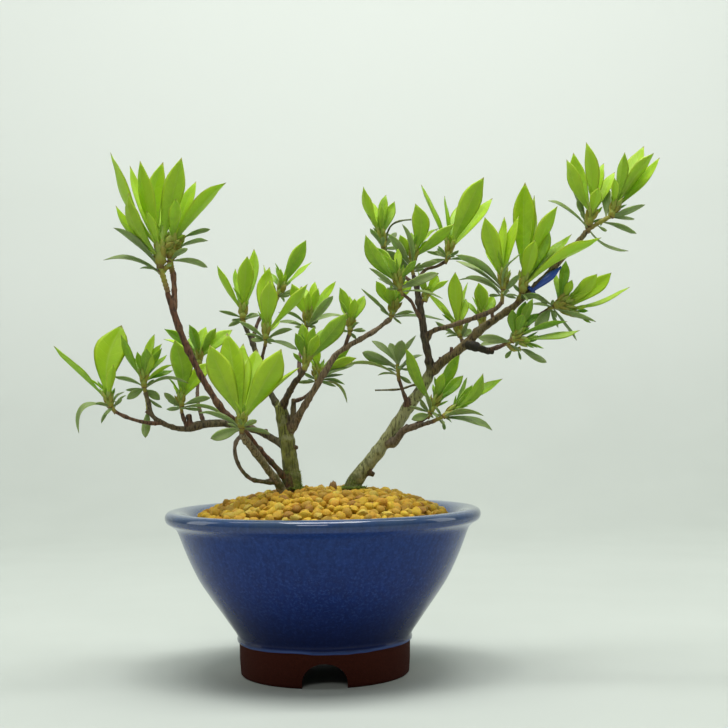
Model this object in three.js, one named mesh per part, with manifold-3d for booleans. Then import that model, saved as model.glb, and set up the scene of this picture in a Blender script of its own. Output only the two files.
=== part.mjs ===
// Satsuki azalea bonsai growing in a glazed round pot. Millimetres, +Z up, front towards -Y.
import * as THREE from "three";
import { mergeVertices } from "three/addons/utils/BufferGeometryUtils.js";
import Module from "manifold-3d";

const wasm = await Module();
wasm.setup();

// ---------------------------------------------------------------- driving dimensions

const GAP = 0.3; // clearance between pieces that touch
const ROUND_SIDES = 32; // facets round the pot and its filling

const POT = {
  footHeight: 12.4,
  footInner: 28.2,
  notchCount: 3,
  firstNotch: (-88.5 * Math.PI) / 180,
  notchSpring: 2, // where the arch of a notch starts
  notchWidth: 17,
  notchHeight: 9.3,
  drainRadius: 8.5,
  floorUnder: 12.6,
  floorTop: 19.6,
};
// Radius and height down the outside of the pot, from the foot to the rolled rim.
const POT_OUTSIDE = [
  [POT.footInner, 0],
  [33.2, 0],
  [33.7, POT.footHeight],
  [34.2, 14.0],
  [36.6, 18.8],
  [41.0, 25.2],
  [49.0, 36.8],
  [53.0, 44.0],
  [55.6, 50.4],
  [57.6, 56.2],
  [59.2, 58.3],
  [62.2, 60.2],
  [62.5, 62.2],
  [60.4, 64.5],
  [55.4, 63.6],
  [52.6, 61.2],
];
// Radius and height down the inside, from the rim to the floor.
const POT_INSIDE = [
  [51.4, 57.6],
  [49.2, 50.0],
  [40.8, 34.0],
  [29.4, 22.2],
  [24.0, POT.floorTop],
];

const NET = { size: 24, thickness: 1.1, cells: 3, bar: 1.6 };

const DRESSING = {
  radius: 50.5,
  edgeTop: 61.6,
  edgeBottom: 57.9,
  crownTop: 72.0,
  crownPower: 2.8, // how flat the mound is on top
  crownBottom: 62.6,
  rings: 11,
  relief: 0.85,
  crownShift: 3, // the mound is highest a little to the right of the pot's axis
};

const LEAF = {
  rootWidth: 0.7,
  rootThickness: 0.65,
  thickness: 0.95,
  lift: 0.16, // how far the edges stand above the rib, in half widths
  newRatio: 0.24, // width over length
  oldRatio: 0.22,
  broad: 9, // from this width on a blade has one more station
  short: 9, // up to this length it has one less
  narrow: 2.6, // as it has up to this seen width, where it is nearly straight
  straight: 0.08, // the most bow and sway of such a blade
};
// Distance along a blade and its width there, both as shares.
const BROAD_BLADE = [
  [0.3, 0.46],
  [0.62, 1.0],
  [0.86, 0.62],
];
const SLIM_BLADE = [
  [0.44, 0.8],
  [0.78, 0.86],
];
const SHORT_BLADE = [[0.6, 1.0]];

const CORE = { radius: 1.15, tipRadius: 0.85, sides: 3 };
const TAG = { length: 15.5, width: 3.4, thickness: 0.8, ring: 2.3, bore: 1.55, band: 1.6 };

// The tree is laid out as a front elevation: [across, up, depth], depth growing away from the
// front. The elevation is drawn in perspective on the plane through the pot's axis, from EYE. Its
// centre stands at EYE.x from that axis, and it leans to the right about that centre.
const EYE = { across: 16.2, up: 100, x: 17, distance: 500 };
const LEAN = (0.8 * Math.PI) / 180;

function scaleAt(depth) {
  return 1 + depth / EYE.distance;
}

function place([across, up, depth]) {
  const right = (across - EYE.across) * scaleAt(depth);
  const rise = (up - EYE.up) * scaleAt(depth);
  return new THREE.Vector3(
    EYE.x + right * Math.cos(LEAN) + rise * Math.sin(LEAN),
    depth,
    EYE.up + rise * Math.cos(LEAN) - right * Math.sin(LEAN),
  );
}

// ---------------------------------------------------------------- the tree's layout

// The woody frame. Each branch is a list of [across, up, depth, diameter].
const BURIED = [
  [[-12.5, 60.2, 0, 8.5], [-12.4, 66, 0, 8.2]],
  [[-14, 60.2, -2, 5], [-15.6, 68, -4, 3.8]],
  [[11.5, 60.5, 0, 8.5], [11.4, 66, 0, 7.8]],
  [[-12.5, 61, 0, 7.5], [0, 59.5, 3, 6.5], [11.5, 60.5, 0, 7.5]],
  [[-12.5, 60, 0, 5], [-20, 53, -9, 3.4], [-24, 46, -14, 2]],
  [[11.5, 60, 0, 5], [19, 53, -8, 3.4], [25, 46, -12, 2]],
  [[0, 59.5, 3, 5], [2, 51, 14, 3], [4, 44, 20, 1.8]],
];
const BRANCHES = {
  left_trunk: [
    [-12.5, 62, 0, 8.2], [-12.4, 73, 0, 6.7], [-13.8, 84, 0.5, 6.1], [-15.4, 94, 1.2, 5.8],
    [-16.4, 100, 1.7, 5.2], [-17.8, 105, 2, 4.2],
  ],
  left_fork: [
    [-18, 103.5, 2, 2.6], [-21, 109, 3, 2.4], [-23.2, 114, 4, 2.2], [-26.3, 122.5, 6, 2],
    [-28.7, 130, 7.5, 1.9], [-31, 135, 8.6, 1.6], [-32.3, 138.2, 9, 1.5],
  ],
  center_top_twig: [[-28.9, 131, 7.5, 1.5], [-25.8, 140, 11, 1.3], [-19.2, 147.6, 12, 1.2]],
  mid_left_twig: [[-26, 121.5, 6, 1.4], [-25, 124, 1, 1.3], [-24, 128, -6.5, 1.2], [-23.7, 129.6, -8, 1.2]],
  right_fork: [
    [-17, 103.5, 2, 3], [-15.4, 107.5, 0, 2.6], [-12.5, 113, -5, 2.3], [-9.3, 117.2, -9, 2.1],
    [-8, 119.6, -10, 2],
  ],
  center_twig: [[-9.6, 116.8, -8.6, 1.8], [-10, 123, -2, 1.5], [-8.6, 130, 3.5, 1.4], [-7.3, 135, 5, 1.4]],
  lower_stem: [
    [-14, 94.5, 1, 4], [-11.3, 98.8, -1, 3.2], [-9, 103, -3, 2.5], [-3, 113, -4, 2.4],
    [3.7, 123.9, -4, 2.2], [7.9, 127.8, -3, 2], [18.6, 133.9, -1, 1.8], [25, 138.6, 1.6, 1.6],
    [26.3, 139.7, 2, 1.5],
  ],
  lower_stem_spur: [[-12.6, 97.5, 0, 2.2], [-12.4, 103, -0.6, 1.9], [-12.2, 107.8, -0.8, 1.6]],
  low_center_twig: [
    [-12.3, 106.6, -0.7, 1.4], [-8.5, 108, 0.6, 1.3], [-5.3, 110.6, 1, 1.2], [-3.2, 113.4, 1, 1.2],
  ],
  center_right_twig: [[7.9, 127.8, -3, 1.6], [8.7, 130, -3, 1.5], [10, 133.6, -3, 1.3]],
  left_bough: [
    [-15.5, 89.5, 1, 3.6], [-19, 90.9, 3, 2.7], [-23.5, 93.4, 5, 2.5], [-29.5, 95.9, 6, 2.3],
    [-39, 97.9, 6, 2.7], [-48, 97.5, 5.4, 3], [-52.6, 96.3, 4.6, 3.3], [-54.6, 95.7, 4.2, 2.1],
    [-59, 95.9, 3, 1.8], [-65.5, 98.4, -1, 1.9],
    [-69, 101.4, -2.5, 1.8], [-70.2, 106, -3.4, 1.6], [-71.6, 110.2, -4, 1.5],
  ],
  left_bough_knob: [[-23.5, 93.4, 5, 2.2], [-23.2, 95.6, 5, 1.4]],
  left_bough_spur: [[-53.5, 97.2, 4.4, 2.2], [-54.2, 101.4, 4, 1.8]],
  left_tier_spur: [[-68.6, 101, -2.4, 1.6], [-71.2, 103, -3, 1.3]],
  far_left_twig: [
    [-64.5, 98, -0.4, 1.8], [-70, 98, -4, 1.5], [-76, 99.3, -8, 1.4], [-81, 101.2, -11, 1.4],
    [-83.8, 102.8, -12, 1.4],
  ],
  low_left_twig: [[-55, 96.6, 4, 1.6], [-56.6, 101, 2.6, 1.3], [-56.9, 102.8, 2, 1.3]],
  behind_stem_twig: [
    [-48, 97.4, 5.4, 1.8], [-50.6, 107, 12, 1.4], [-50.4, 116, 18, 1.2], [-50, 121.7, 20, 1.2],
  ],
  grey_stem: [
    [-14.2, 62, -2, 4.6], [-17, 71.5, -5, 3.4], [-22, 79, -9, 3], [-28, 87, -15, 2.8],
    [-32, 92.2, -22, 2.4], [-33, 93.9, -24, 2],
  ],
  long_stem: [
    [-13.5, 62, -1, 3.2], [-15.8, 75.5, -3, 2.1], [-25, 86.5, -5, 2], [-31.8, 94.5, -7, 2.1],
    [-36.2, 99.3, -8, 2.2], [-40, 102.5, -8, 2.3], [-44, 108, -8, 2.4], [-48.3, 115, -8, 2.3],
    [-52, 122, -8, 2.3], [-56, 130.5, -8, 2.3], [-59.3, 139, -8, 2.5], [-62.3, 147.8, -8, 2],
    [-63.1, 150.8, -8, 1.9],
  ],
  crown_twig: [[-60.2, 141.6, -8, 2.1], [-60.2, 150, -6.6, 2.1], [-60.8, 158.7, -5.3, 1.9]],
  loop_twig: [
    [-19.5, 74.6, -7, 2], [-25, 74.7, -11, 1.6], [-29.6, 76, -14, 1.4], [-33.4, 80, -17.5, 1.3],
    [-35.6, 86, -20, 1.5], [-35.1, 90.6, -21.5, 1.4], [-32.8, 93.2, -23, 1.4],
  ],
  right_trunk: [
    [11.5, 62, 0, 7.8], [11.5, 72.6, 0, 6.3], [14.3, 77.5, -0.5, 5.5], [22, 87.3, -1, 5],
    [29.6, 98.3, -2, 4.7], [34.4, 105.6, -3, 4.7], [39, 111.6, -4, 4.2], [42.6, 118.6, -5, 3.6],
  ],
  upright: [
    [42.4, 117, -5, 3.2], [41.8, 124, -6, 2.8], [40.4, 131, -7, 2.7], [39, 141, -8, 2.6],
    [37.9, 147.3, -8, 2.4], [36.9, 154, -7, 2], [35.9, 156.9, -5.2, 1.6],
  ],
  top_twig: [[36.9, 153.4, -7, 1.6], [32, 157, 0, 1.3], [27.5, 162.5, 2, 1.2], [24, 166.6, 2, 1.2]],
  upper_twig: [
    [39.1, 139, -8, 1.7], [36.7, 143, -10, 1.4], [34.8, 146.8, -11, 1.3], [31.4, 149.8, -12, 1.3],
  ],
  crest_twig: [
    [36.8, 154.6, -6.6, 1.5], [40.5, 159.4, -4, 1.3], [45, 160.8, -3, 1.2], [48.6, 162.8, -2, 1.2],
  ],
  upright_spur: [[38.2, 146, -8, 1.6], [40.2, 147.5, -9, 1.3]],
  right_bough: [
    [42, 117.6, -5, 3.6], [47.5, 122.6, -5.5, 3.5], [52.5, 126.2, -6, 3.5], [58, 130.8, -7, 3.4],
    [63, 135.7, -8, 3], [72.5, 142.3, -8, 2.5], [77.5, 146, -8, 2.3], [84, 152.3, -7.5, 2.1],
    [90, 158.2, -7, 2], [97, 165.3, -6, 1.9], [103, 172, -5, 1.9], [105.2, 174.8, -4.5, 1.9],
  ],
  right_bough_shoot: [[56.5, 129.8, -6.8, 1.8], [55.2, 131, -4, 1.4]],
  behind_bough_shoot: [[62.6, 135.4, -7.9, 1.8], [63, 137.2, -2.5, 1.4]],
  second_bough_spur: [[67.2, 142.8, -15.8, 1.6], [67.4, 140.4, -15.2, 1.2]],
  bough_fork: [[77.3, 145.8, -8, 1.9], [77.8, 147.6, -9, 1.6]],
  second_bough: [
    [41, 131.5, -7, 2], [43.3, 134.8, -9, 1.9], [50.5, 136.9, -12, 1.8], [61, 140.4, -15, 1.7],
    [68.5, 143.6, -16, 1.6], [71.2, 146.4, -16, 1.6],
  ],
  rough_spur: [[57, 129.6, -7, 3.6], [60.5, 128.6, -9, 3.3], [64, 127.4, -11, 2.6], [67.8, 126.2, -12, 1.3]],
  lower_right_twig: [[65.5, 127.4, -11.5, 1.8], [69.5, 128, -12.8, 1.2], [72.2, 129.3, -14, 1.2]],
  far_right_twig: [
    [67, 127.7, -12, 1.6], [72, 129.6, -8, 1.3], [78, 134, -5.5, 1.3], [84.5, 139.8, -6.5, 1.4],
    [89.7, 143.3, -8, 1.5],
  ],
  right_side_bough: [
    [24.5, 89.5, -1.5, 3.8], [28.2, 90.6, -4, 3], [31.7, 95, -7, 2.8], [35, 96.3, -9, 2.1],
    [40, 97.6, -12, 1.7], [44.1, 98.9, -15, 1.5],
  ],
  right_side_twig: [[34.4, 96, -8.6, 1.6], [39, 98.9, -10.5, 1.4], [41.5, 100.6, -12, 1.3]],
  right_side_knob: [[32, 95, -7.2, 2], [33.4, 97.3, -7.4, 1.5]],
  inner_twig: [[34, 104.6, -3.5, 2], [32.9, 106.8, -5, 1.5], [31.3, 111, -6, 1.3], [29.9, 115.6, -6, 1.2]],
  dry_shoot: [[39.5, 112.6, -3.5, 1.2], [36, 113.2, 1.5, 0.9], [30, 111.5, 4, 0.8], [20.3, 111.1, 3, 0.6]],
  curled_shoot: [
    [25.1, 165.2, 2.1, 0.9], [24.8, 170, 4.6, 0.7], [25.6, 175.2, 3.4, 0.7], [27.6, 178, 1, 0.7],
    [30.8, 179.3, 0, 0.7], [35, 179.8, 0, 0.6],
  ],
  left_trunk_nub: [[-12.6, 88.5, 0, 2], [-10.6, 88.2, -1, 1.2]],
  right_trunk_nub: [[30.6, 99.6, -2, 2], [28.6, 100.4, -2.6, 1.4]],
  right_trunk_heel: [[17, 78.6, -0.6, 2.4], [19.9, 77.4, -1.6, 1.3]],
  right_trunk_spur: [[37, 109, -4, 1.6], [36, 111, -4.4, 1]],
  bough_nub: [[46.2, 121.6, -5.4, 1.6], [46.4, 124.4, -6, 1]],
  bough_spur: [[50.6, 125, -6, 1.6], [51, 128.4, -6.6, 1]],
};

// Each shoot has a depth, the stalks that carry its old leaves, the growing tips ("axes") that
// carry its new ones, and the leaves. Stalks, axes and tips of leaves are [across, up, depth],
// their depth counted from the shoot's. A leaf is
//   [root, across, up, depth, seen width, bow, sway]
// where root 1.4 is 40% along the second stalk or axis, and seen width is how wide the blade
// shows from the front. Bow is how far its middle stands off the chord towards the blade's upper
// face, and sway how far it stands to the right of it, seen from the front, both as shares of its
// length. Most blades have no sway, and leave it out.
const SHOOTS = {
  crown_left: {
    depth: -8,
    stalks: [
      [[-63.2, 151.6, 0], [-66, 160.8, 0]], [[-61.2, 159.2, 2.6], [-62.2, 164.6, 3]],
      [[-65.5, 159, 0.4], [-61.6, 161.8, 2.7]],
      [[-61.9, 163.2, 3.2], [-59, 167.5, 6.8], [-56.6, 173.6, 6.8]],
    ],
    axes: [
      [[-66, 161.4, 0], [-65.3, 177, 0]], [[-62.1, 165.2, 3], [-60, 176, 3]],
      [[-65.7, 168, 0], [-61.2, 171, 3]],
    ],
    fresh: [
      [0.8, -85.8, 207.5, -4, 5.4, -0.04, -0.05], [0.6, -78.8, 201, 6.4, 5, -0.03],
      [0.95, -74.8, 203.5, -4, 6.6, -0.02, -0.02], [0.98, -65, 203.3, 4, 6.6, 0.02, -0.12],
      [0.97, -57.8, 205, -4, 8.2, 0.02], [1.8, -51.7, 195.3, 6, 6.4, 0.04],
      [1.6, -40.3, 195.3, -3, 5, 0.07], [1.9, -59.5, 188.5, -10, 4.6, 0.0],
      [0.3, -80, 190, -8, 6, 0, -0.1], [0.2, -84.5, 185, 4, 4, 0, -0.06],
      [0.4, -71.5, 183.5, -8, 3.6, 0.0], [0.5, -70, 192, 12, 6, 0.04], [1.5, -57, 190, 13, 6, 0.04],
    ],
    mature: [
      [0.8, -84.8, 176.5, -3, 3, 0.07], [0.6, -88.8, 163.6, 3, 2.2, 0.12],
      [3.9, -46, 175.8, 3, 1.6, 0.03], [3.6, -46.8, 171.7, -4, 1.2, 0.02],
      [1.8, -55.3, 168, -7, 1.8, 0.02], [1.7, -47, 160.2, 1, 2.2, 0.12],
    ],
  },
  far_left: {
    depth: -12,
    stalks: [[[-84, 103, 0], [-85.4, 104.8, 0]]],
    axes: [[[-85.7, 105.3, 0], [-87, 110.5, 0]]],
    fresh: [
      [0.5, -109.2, 128.2, -4, 3.4, 0], [0.95, -80.5, 137, 7, 12.6, 0.05, -0.1],
      [0.8, -88, 127, 13, 6, 0.05], [0.7, -84.5, 121, -9, 3, 0.02],
    ],
    mature: [
      [0.6, -98, 94, -2, 2.4, 0.52], [0.4, -79.8, 110.2, 4, 1.2, 0.22], [0.9, -91.5, 106, -6, 1.5, 0.02],
    ],
  },
  left_tier: {
    depth: -4,
    stalks: [
      [[-71.7, 110.6, 0], [-72, 112.8, 0]],
      [[-71.9, 111.6, 0.6], [-70.8, 107, 3.4], [-70.4, 103.4, 3.6]],
    ],
    axes: [[[-72.1, 113.3, 0], [-72.4, 119, 0]]],
    fresh: [
      [0.7, -81, 133.5, -13, 3.8, 0, -0.08], [0.9, -75, 126.5, -5, 3, 0.02],
      [0.8, -71, 128, -9, 4.6, 0.02], [0.8, -65.5, 130, 2, 3.6, 0.02],
      [0.2, -60.6, 121.6, -3, 1.8, 0.05],
      [0.9, -69, 125.4, -7, 4.4, 0.0], [0.9, -68, 133.8, 4, 3.8, 0.03],
      [0.6, -64.8, 128, -1, 2.4, 0.04], [0.5, -62.6, 125, 5, 2.2, 0.05],
      [0.3, -60.4, 118.6, 2, 2.2, 0.07], [0.6, -74.5, 124, 11, 4, 0.03],
    ],
    mature: [
      [0.8, -84.3, 116, -2, 1.6, 0.08], [0.6, -79, 107.6, -3, 3.2, 0.1],
      [0.5, -54.2, 113.4, 1, 1.6, 0.2], [1.95, -71.8, 92.2, 1, 3.6, 0.03],
      [0.4, -65.6, 107.4, 4, 3.4, 0.06],
    ],
  },
  low_left: {
    depth: 2,
    stalks: [[[-57, 103.1, 0], [-57.1, 105.1, 0]]],
    axes: [[[-57.1, 105.6, 0], [-57.3, 110, 0]]],
    fresh: [
      [0.8, -60.5, 131, -4, 9.2, 0.04, 0.08], [0.6, -46, 122.5, 4, 6, 0.07], [0.7, -55, 125, 12, 6, 0.05],
    ],
    mature: [
      [0.9, -45.6, 108.2, -3, 2.6, 0.08], [0.5, -41, 101.6, 2, 1.9, 0.12],
      [0.6, -64, 109.8, -7, 2.6, 0.06], [0.4, -63, 103.4, 4, 1.8, 0.06],
    ],
  },
  behind_stem: {
    depth: 20,
    stalks: [],
    axes: [[[-50, 122.2, 0], [-50.2, 127, 0]]],
    fresh: [
      [0.5, -64.2, 135.7, -4, 4, 0.1], [0.8, -53.8, 137.6, -6, 4.4, 0.03],
      [0.9, -47.8, 136.6, 5, 4.4, 0.03], [0.9, -43.6, 136, -5, 4, 0.04],
      [0.5, -37, 135.4, 3, 6.2, 0.06], [0.7, -54, 132, 10, 5, 0.05], [0.2, -64.4, 131.8, 4, 1.4, 0.06],
    ],
    mature: [],
  },
  front_left: {
    depth: -24,
    stalks: [[[-33, 94.9, 0], [-33, 96.4, 0]]],
    axes: [[[-33, 96.9, 0], [-32.7, 102, 0]]],
    fresh: [
      [0.9, -46.5, 129, -4, 10.4, 0.03], [0.95, -38.9, 134, 4, 10, 0.03],
      [0.8, -16.6, 127.2, -3, 11, 0.04], [0.5, -9.6, 120.4, 5, 2.6, 0.03],
      [0.9, -33.4, 129.8, 10, 7, 0.02], [0.9, -26.6, 127.2, 12, 9.4, 0.03],
    ],
    mature: [
      [0.8, -45.3, 91.6, -3, 4.4, 0.08], [0.8, -27, 99, -8, 2.2, 0.05],
      [0.6, -21.4, 93.6, 1, 2.2, 0.07], [0.7, -50, 102.6, -1, 2, 0.06], [0.7, -45, 102.4, 6, 2, 0.03],
    ],
  },
  upper_left: {
    depth: 9,
    stalks: [[[-32.4, 138.5, 0], [-32.6, 140.2, 0]]],
    axes: [[[-32.6, 140.7, 0], [-32.5, 145.5, 0]]],
    fresh: [
      [0.6, -43.5, 161, -3, 3, 0, -0.03], [0.9, -31.2, 165, -6, 6.8, 0.03],
      [0.98, -28.2, 168, 4, 5.4, 0.03, 0.08], [0.8, -36.1, 160.2, 7, 2.6, -0.06],
    ],
    mature: [
      [0.9, -42.4, 142.8, -2, 1.6, 0.03], [0.4, -38.6, 136.8, 3, 1.8, 0.07], [0.5, -26.7, 141.6, 7, 1.6, 0.1],
    ],
  },
  mid_left: {
    depth: -8,
    stalks: [[[-23.6, 129.9, 0], [-23.4, 131.8, 0]]],
    axes: [[[-23.4, 132.4, 0], [-22.9, 137.5, 0]]],
    fresh: [
      [0.95, -22, 155, -6, 7.4, 0.02], [0.95, -22.6, 160.3, 4, 7, 0.02, -0.04],
      [0.7, -6.5, 153.5, -2, 3.6, -0.02], [0.7, -24.4, 161.9, 9, 1.8, 0.02],
    ],
    mature: [
      [0.7, -12.8, 135.6, 0, 1.8, 0.1], [0.4, -10.8, 126.8, -3, 1.8, 0.1],
      [0.8, -34.4, 138.6, -3, 1.6, 0.04], [0.5, -29.2, 131.4, 4, 1.8, 0.05],
    ],
  },
  center_top: {
    depth: 12,
    stalks: [[[-19, 148, 0], [-18.4, 149.6, 0]]],
    axes: [[[-18.2, 150.1, 0], [-16.6, 154.4, 0]]],
    fresh: [
      [0.9, -7.3, 171.5, -3, 6, 0.03], [0.6, -5.3, 162.7, 4, 2.4, -0.02],
      [0.9, -17.8, 160, -5, 2.4, 0.02], [0.8, -21.4, 158, 4, 2.4, 0.02], [0.8, -11.5, 163.5, 10, 4, 0],
    ],
    mature: [[0.6, -23.4, 156.4, -3, 2.2, 0.04], [0.5, -10, 151.4, -2, 2.4, 0.06]],
  },
  center: {
    depth: 5,
    stalks: [[[-7.2, 135.4, 0], [-7, 137.2, 0]]],
    axes: [[[-6.9, 137.8, 0], [-6, 143.5, 0]]],
    fresh: [
      [0.6, -13.3, 153.8, -3, 5.4, 0.05], [0.98, -3.9, 155, 5, 3.4, 0.03],
      [0.8, -6.4, 150.5, -6, 3.2, 0.0], [0.9, -2.4, 152, -4, 3.6, 0.03],
      [0.8, 4.5, 154.8, 3, 3.6, -0.02], [0.8, -9, 153, 10, 5, 0.04],
    ],
    mature: [
      [0.8, -18.5, 142.4, -2, 1.6, 0.16], [0.4, -18.5, 138.4, 5, 1.6, 0.07],
      [0.5, 8.5, 140.6, 3, 2.2, 0.15], [0.6, 3.3, 149, -12, 3, -0.02],
    ],
  },
  center_front: {
    depth: -10,
    stalks: [],
    axes: [[[-7.8, 120.1, 0], [-6.3, 126, 0]]],
    fresh: [
      [0.7, 9.3, 142, -3, 7.4, 0.03], [0.95, 0.3, 136.2, 5, 3.2, 0.03],
      [0.95, -8.8, 138.2, 2, 4.6, 0.02], [0.98, -4.3, 136.6, -4, 4, 0.02],
      [0.9, -2.4, 133, -9, 4.6, 0.0], [0.7, -11.3, 134.2, -3, 4, 0.05], [0.2, -12.6, 126, -3, 1.8, 0.05],
    ],
    mature: [],
  },
  center_right: {
    depth: -3,
    stalks: [[[10.1, 133.9, 0], [10.3, 135.4, 0]]],
    axes: [[[10.4, 135.9, 0], [10.7, 140, 0]]],
    fresh: [
      [0.8, 6.6, 152.5, -2, 4.2, 0.04], [0.8, 16.3, 149, 2, 4.4, 0.05],
      [0.95, 10, 148.6, 5, 3.6, 0.02], [0.95, 12.2, 147.9, -5, 3.6, 0.02],
    ],
    mature: [[0.8, 16.6, 135, -1, 1.4, 0.12], [0.3, 13, 131.6, 4, 1.4, 0.06]],
  },
  low_center: {
    depth: 1,
    stalks: [[[-3.1, 113.8, 0], [-2.9, 115.6, 0]]],
    axes: [[[-2.9, 116.1, 0], [-3, 120.4, 0.6]]],
    fresh: [[0.9, 10.3, 127.6, 3, 4, 0.03], [0.8, 12.8, 124.4, 1, 4, 0.04], [0.95, -3.2, 129, 3, 3.4, 0.02]],
    mature: [
      [0.65, 12.6, 121.8, 5, 2.8, 0.08], [0.8, 7.6, 117.2, 3, 1.4, 0.04], [0.5, 8.1, 113.2, 4, 1.6, 0.13],
      [0.2, 9, 105.8, 2, 1.2, 0.28], [0.7, -8.4, 118, 1, 1.4, 0.06],
    ],
  },
  right_of_center: {
    depth: 2,
    stalks: [[[26.5, 139.9, 0], [27.1, 141.4, 0]]],
    axes: [[[27.2, 141.9, 0], [28.6, 147, 0]]],
    fresh: [
      [0.7, 20.8, 155, -3, 4.4, 0.06], [0.95, 25.6, 152.4, -4, 5, 0.03],
      [0.8, 35, 156, 4, 4.4, 0.05], [0.95, 30.8, 154, 4, 4, 0.03],
    ],
    mature: [
      [0.6, 14.8, 151.8, -2, 1.3, -0.02], [0.5, 36, 142.6, -3, 1.6, 0.04],
      [0.2, 47.8, 139, 3, 2, 0.06],
    ],
  },
  upper_right_of_center: {
    depth: -12,
    stalks: [[[31.1, 150.1, 0], [30.3, 151.8, 0]]],
    axes: [[[30.1, 152.4, 0], [28.8, 160, 0]]],
    fresh: [
      [0.4, 16.3, 173.5, -4, 6, 0.02, -0.08], [0.7, 21.3, 168.5, 4, 5, 0.04],
      [0.98, 26.2, 164, -6, 3.4, 0.02], [0.98, 29.6, 168, 4, 3.4, 0.02], [0.6, 37, 163.5, -4, 3, 0.06],
    ],
    mature: [
      [0.95, 45.8, 158.4, -3, 4, 0.06], [0.5, 18.2, 160.3, -4, 1.8, -0.02],
      [0.4, 21.5, 156, 3, 1.6, 0.04], [0.3, 47.4, 147.6, -1, 1.5, 0.1],
    ],
  },
  top: {
    depth: 2,
    stalks: [[[23.9, 166.9, 0], [23.7, 168.8, 0]]],
    axes: [[[23.6, 169.4, 0], [22.3, 177.5, 0]]],
    fresh: [
      [0.9, 15.2, 193, -4, 3.6, 0, -0.06], [0.98, 24.4, 190, 3, 3.8, 0.03],
      [0.9, 18.7, 187.6, 6, 3.4, 0], [0.8, 28, 187, 4, 4.4, 0.02], [0.98, 23.2, 185.5, -5, 2.4, 0.0],
    ],
    mature: [[0.6, 18.2, 175.8, -8, 1.5, 0.04], [0.7, 29, 174.5, 6, 2.6, 0.05]],
  },
  upper_crest: {
    depth: -4,
    stalks: [[[35.7, 157.5, -1], [35, 161, 0]]],
    axes: [[[35, 161.6, 0], [36, 169.5, 0]]],
    fresh: [
      [0.95, 37.2, 186.2, -5, 7.4, 0.02, 0.12], [0.4, 30.2, 173.5, -4, 4.2, 0.05],
      [0.9, 35, 174.4, 6, 3.4, 0.0], [0.6, 43.4, 171.6, 4, 3.2, 0.05],
      [0.5, 52.3, 178, -4, 4.2, -0.02], [0.9, 46, 176.6, 8, 2.8, 0.07],
    ],
    mature: [
      [0.6, 25.6, 174.2, -5, 3.4, 0.04], [0.7, 24.2, 167, -4, 4, 0.07],
      [0.68, 31.2, 178.2, -15, 1.4, 0.07], [0.5, 45.5, 162.6, -5, 2.2, 0.1],
    ],
  },
  crest: {
    depth: -2,
    stalks: [[[48.9, 163.1, 0], [49.6, 164.6, 0]]],
    axes: [[[49.8, 165.1, 0], [50.4, 171, 0]]],
    fresh: [
      [0.9, 63.5, 197.3, -4, 8.8, 0.03], [0.7, 67.7, 188.8, 4, 4, -0.03],
      [0.9, 38.4, 193.8, 3, 3, 0], [0.98, 47.8, 189.3, 6, 2.4, 0.02], [0.9, 56, 187, 11, 5, 0.04],
    ],
    mature: [
      [0.7, 45.6, 169, -3, 1.2, 0.03], [0.6, 44.4, 167, 2, 1.6, 0.06], [0.8, 54, 167, -5, 1.4, 0.02],
      [0.4, 39.8, 161, -3, 2.2, 0.1],
    ],
  },
  inner_right: {
    depth: -6,
    stalks: [[[29.8, 116, 0], [29.3, 121.6, 0]]],
    axes: [],
    fresh: [],
    mature: [
      [0.8, 15.2, 126.4, -3, 4.4, 0.12], [0.95, 19, 131, 3, 2.6, 0.1], [0.9, 31, 131, -6, 5, 0.03],
      [0.95, 26.4, 130, 4, 3.6, 0.03], [0.8, 37, 133, 3, 1.8, 0.06], [0.5, 20.2, 124.2, 5, 1.8, 0.06],
      [0.1, 8.5, 121.2, -2, 1.3, 0.12], [0.4, 39.6, 125.4, 13, 1.6, 0.06], [0.2, 34.8, 113.8, 2, 1.8, 0.12],
    ],
  },
  right_side_a: {
    depth: -12,
    stalks: [[[41.8, 100.9, 0], [42.6, 102.4, 0]]],
    axes: [[[42.8, 102.9, 0], [46, 109, 0]]],
    fresh: [
      [0.7, 33.2, 128.4, -3, 5, 0, -0.08], [0.95, 54, 125.6, 4, 4.6, -0.04],
      [0.98, 47.5, 118, -6, 4, 0.04], [0.8, 55.6, 117, 5, 4.4, 0.06],
    ],
    mature: [
      [0.7, 40.6, 109.8, -10, 1.8, 0.04], [0.6, 38.4, 106.4, 3, 1.8, 0.14],
      [0.3, 34.8, 99.6, -4, 3.4, 0.12],
    ],
  },
  right_side_b: {
    depth: -16,
    stalks: [[[44.6, 99.2, 0.6], [48, 100.8, 0]]],
    axes: [[[48.5, 101.1, 0], [53.6, 104.4, 0]]],
    fresh: [
      [0.95, 63.6, 117.8, -3, 4.2, 0.02, 0.12], [0.98, 71.3, 115.7, 2, 3, 0],
      [0.7, 59.4, 113, 5, 3.4, 0.05], [0.9, 56.6, 116, 10, 2, 0.02],
    ],
    mature: [[0.5, 63.8, 100.8, -14, 2.8, 0.1], [0.5, 67.3, 95.8, -2, 2.2, 0.07]],
  },
  bough_center: {
    depth: -3,
    stalks: [[[55, 131.3, 0], [54.4, 133, 0]]],
    axes: [[[54.2, 133.6, 0], [52.8, 139, 0]]],
    fresh: [
      [0.95, 52.2, 158.6, -2, 6.2, 0.02], [0.8, 56.8, 148, 4, 4.2, 0.05],
      [0.8, 41, 150.2, 2, 3.2, 0.03], [0.9, 57.8, 154.4, 7, 2, 0.03],
    ],
    mature: [
      [0.6, 44.3, 138.3, -2, 1.4, -0.02], [0.6, 59, 135.4, 4, 2.4, 0.06],
      [0.7, 57.8, 138.6, -5, 1.5, 0.02],
    ],
  },
  behind_bough: {
    depth: -1,
    stalks: [],
    axes: [[[63, 137.6, 0], [63.3, 142.4, 0]]],
    fresh: [
      [0.9, 61.9, 154.3, -2, 5.8, 0.02, 0.05], [0.7, 67.9, 149, 4, 5, 0.03],
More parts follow.
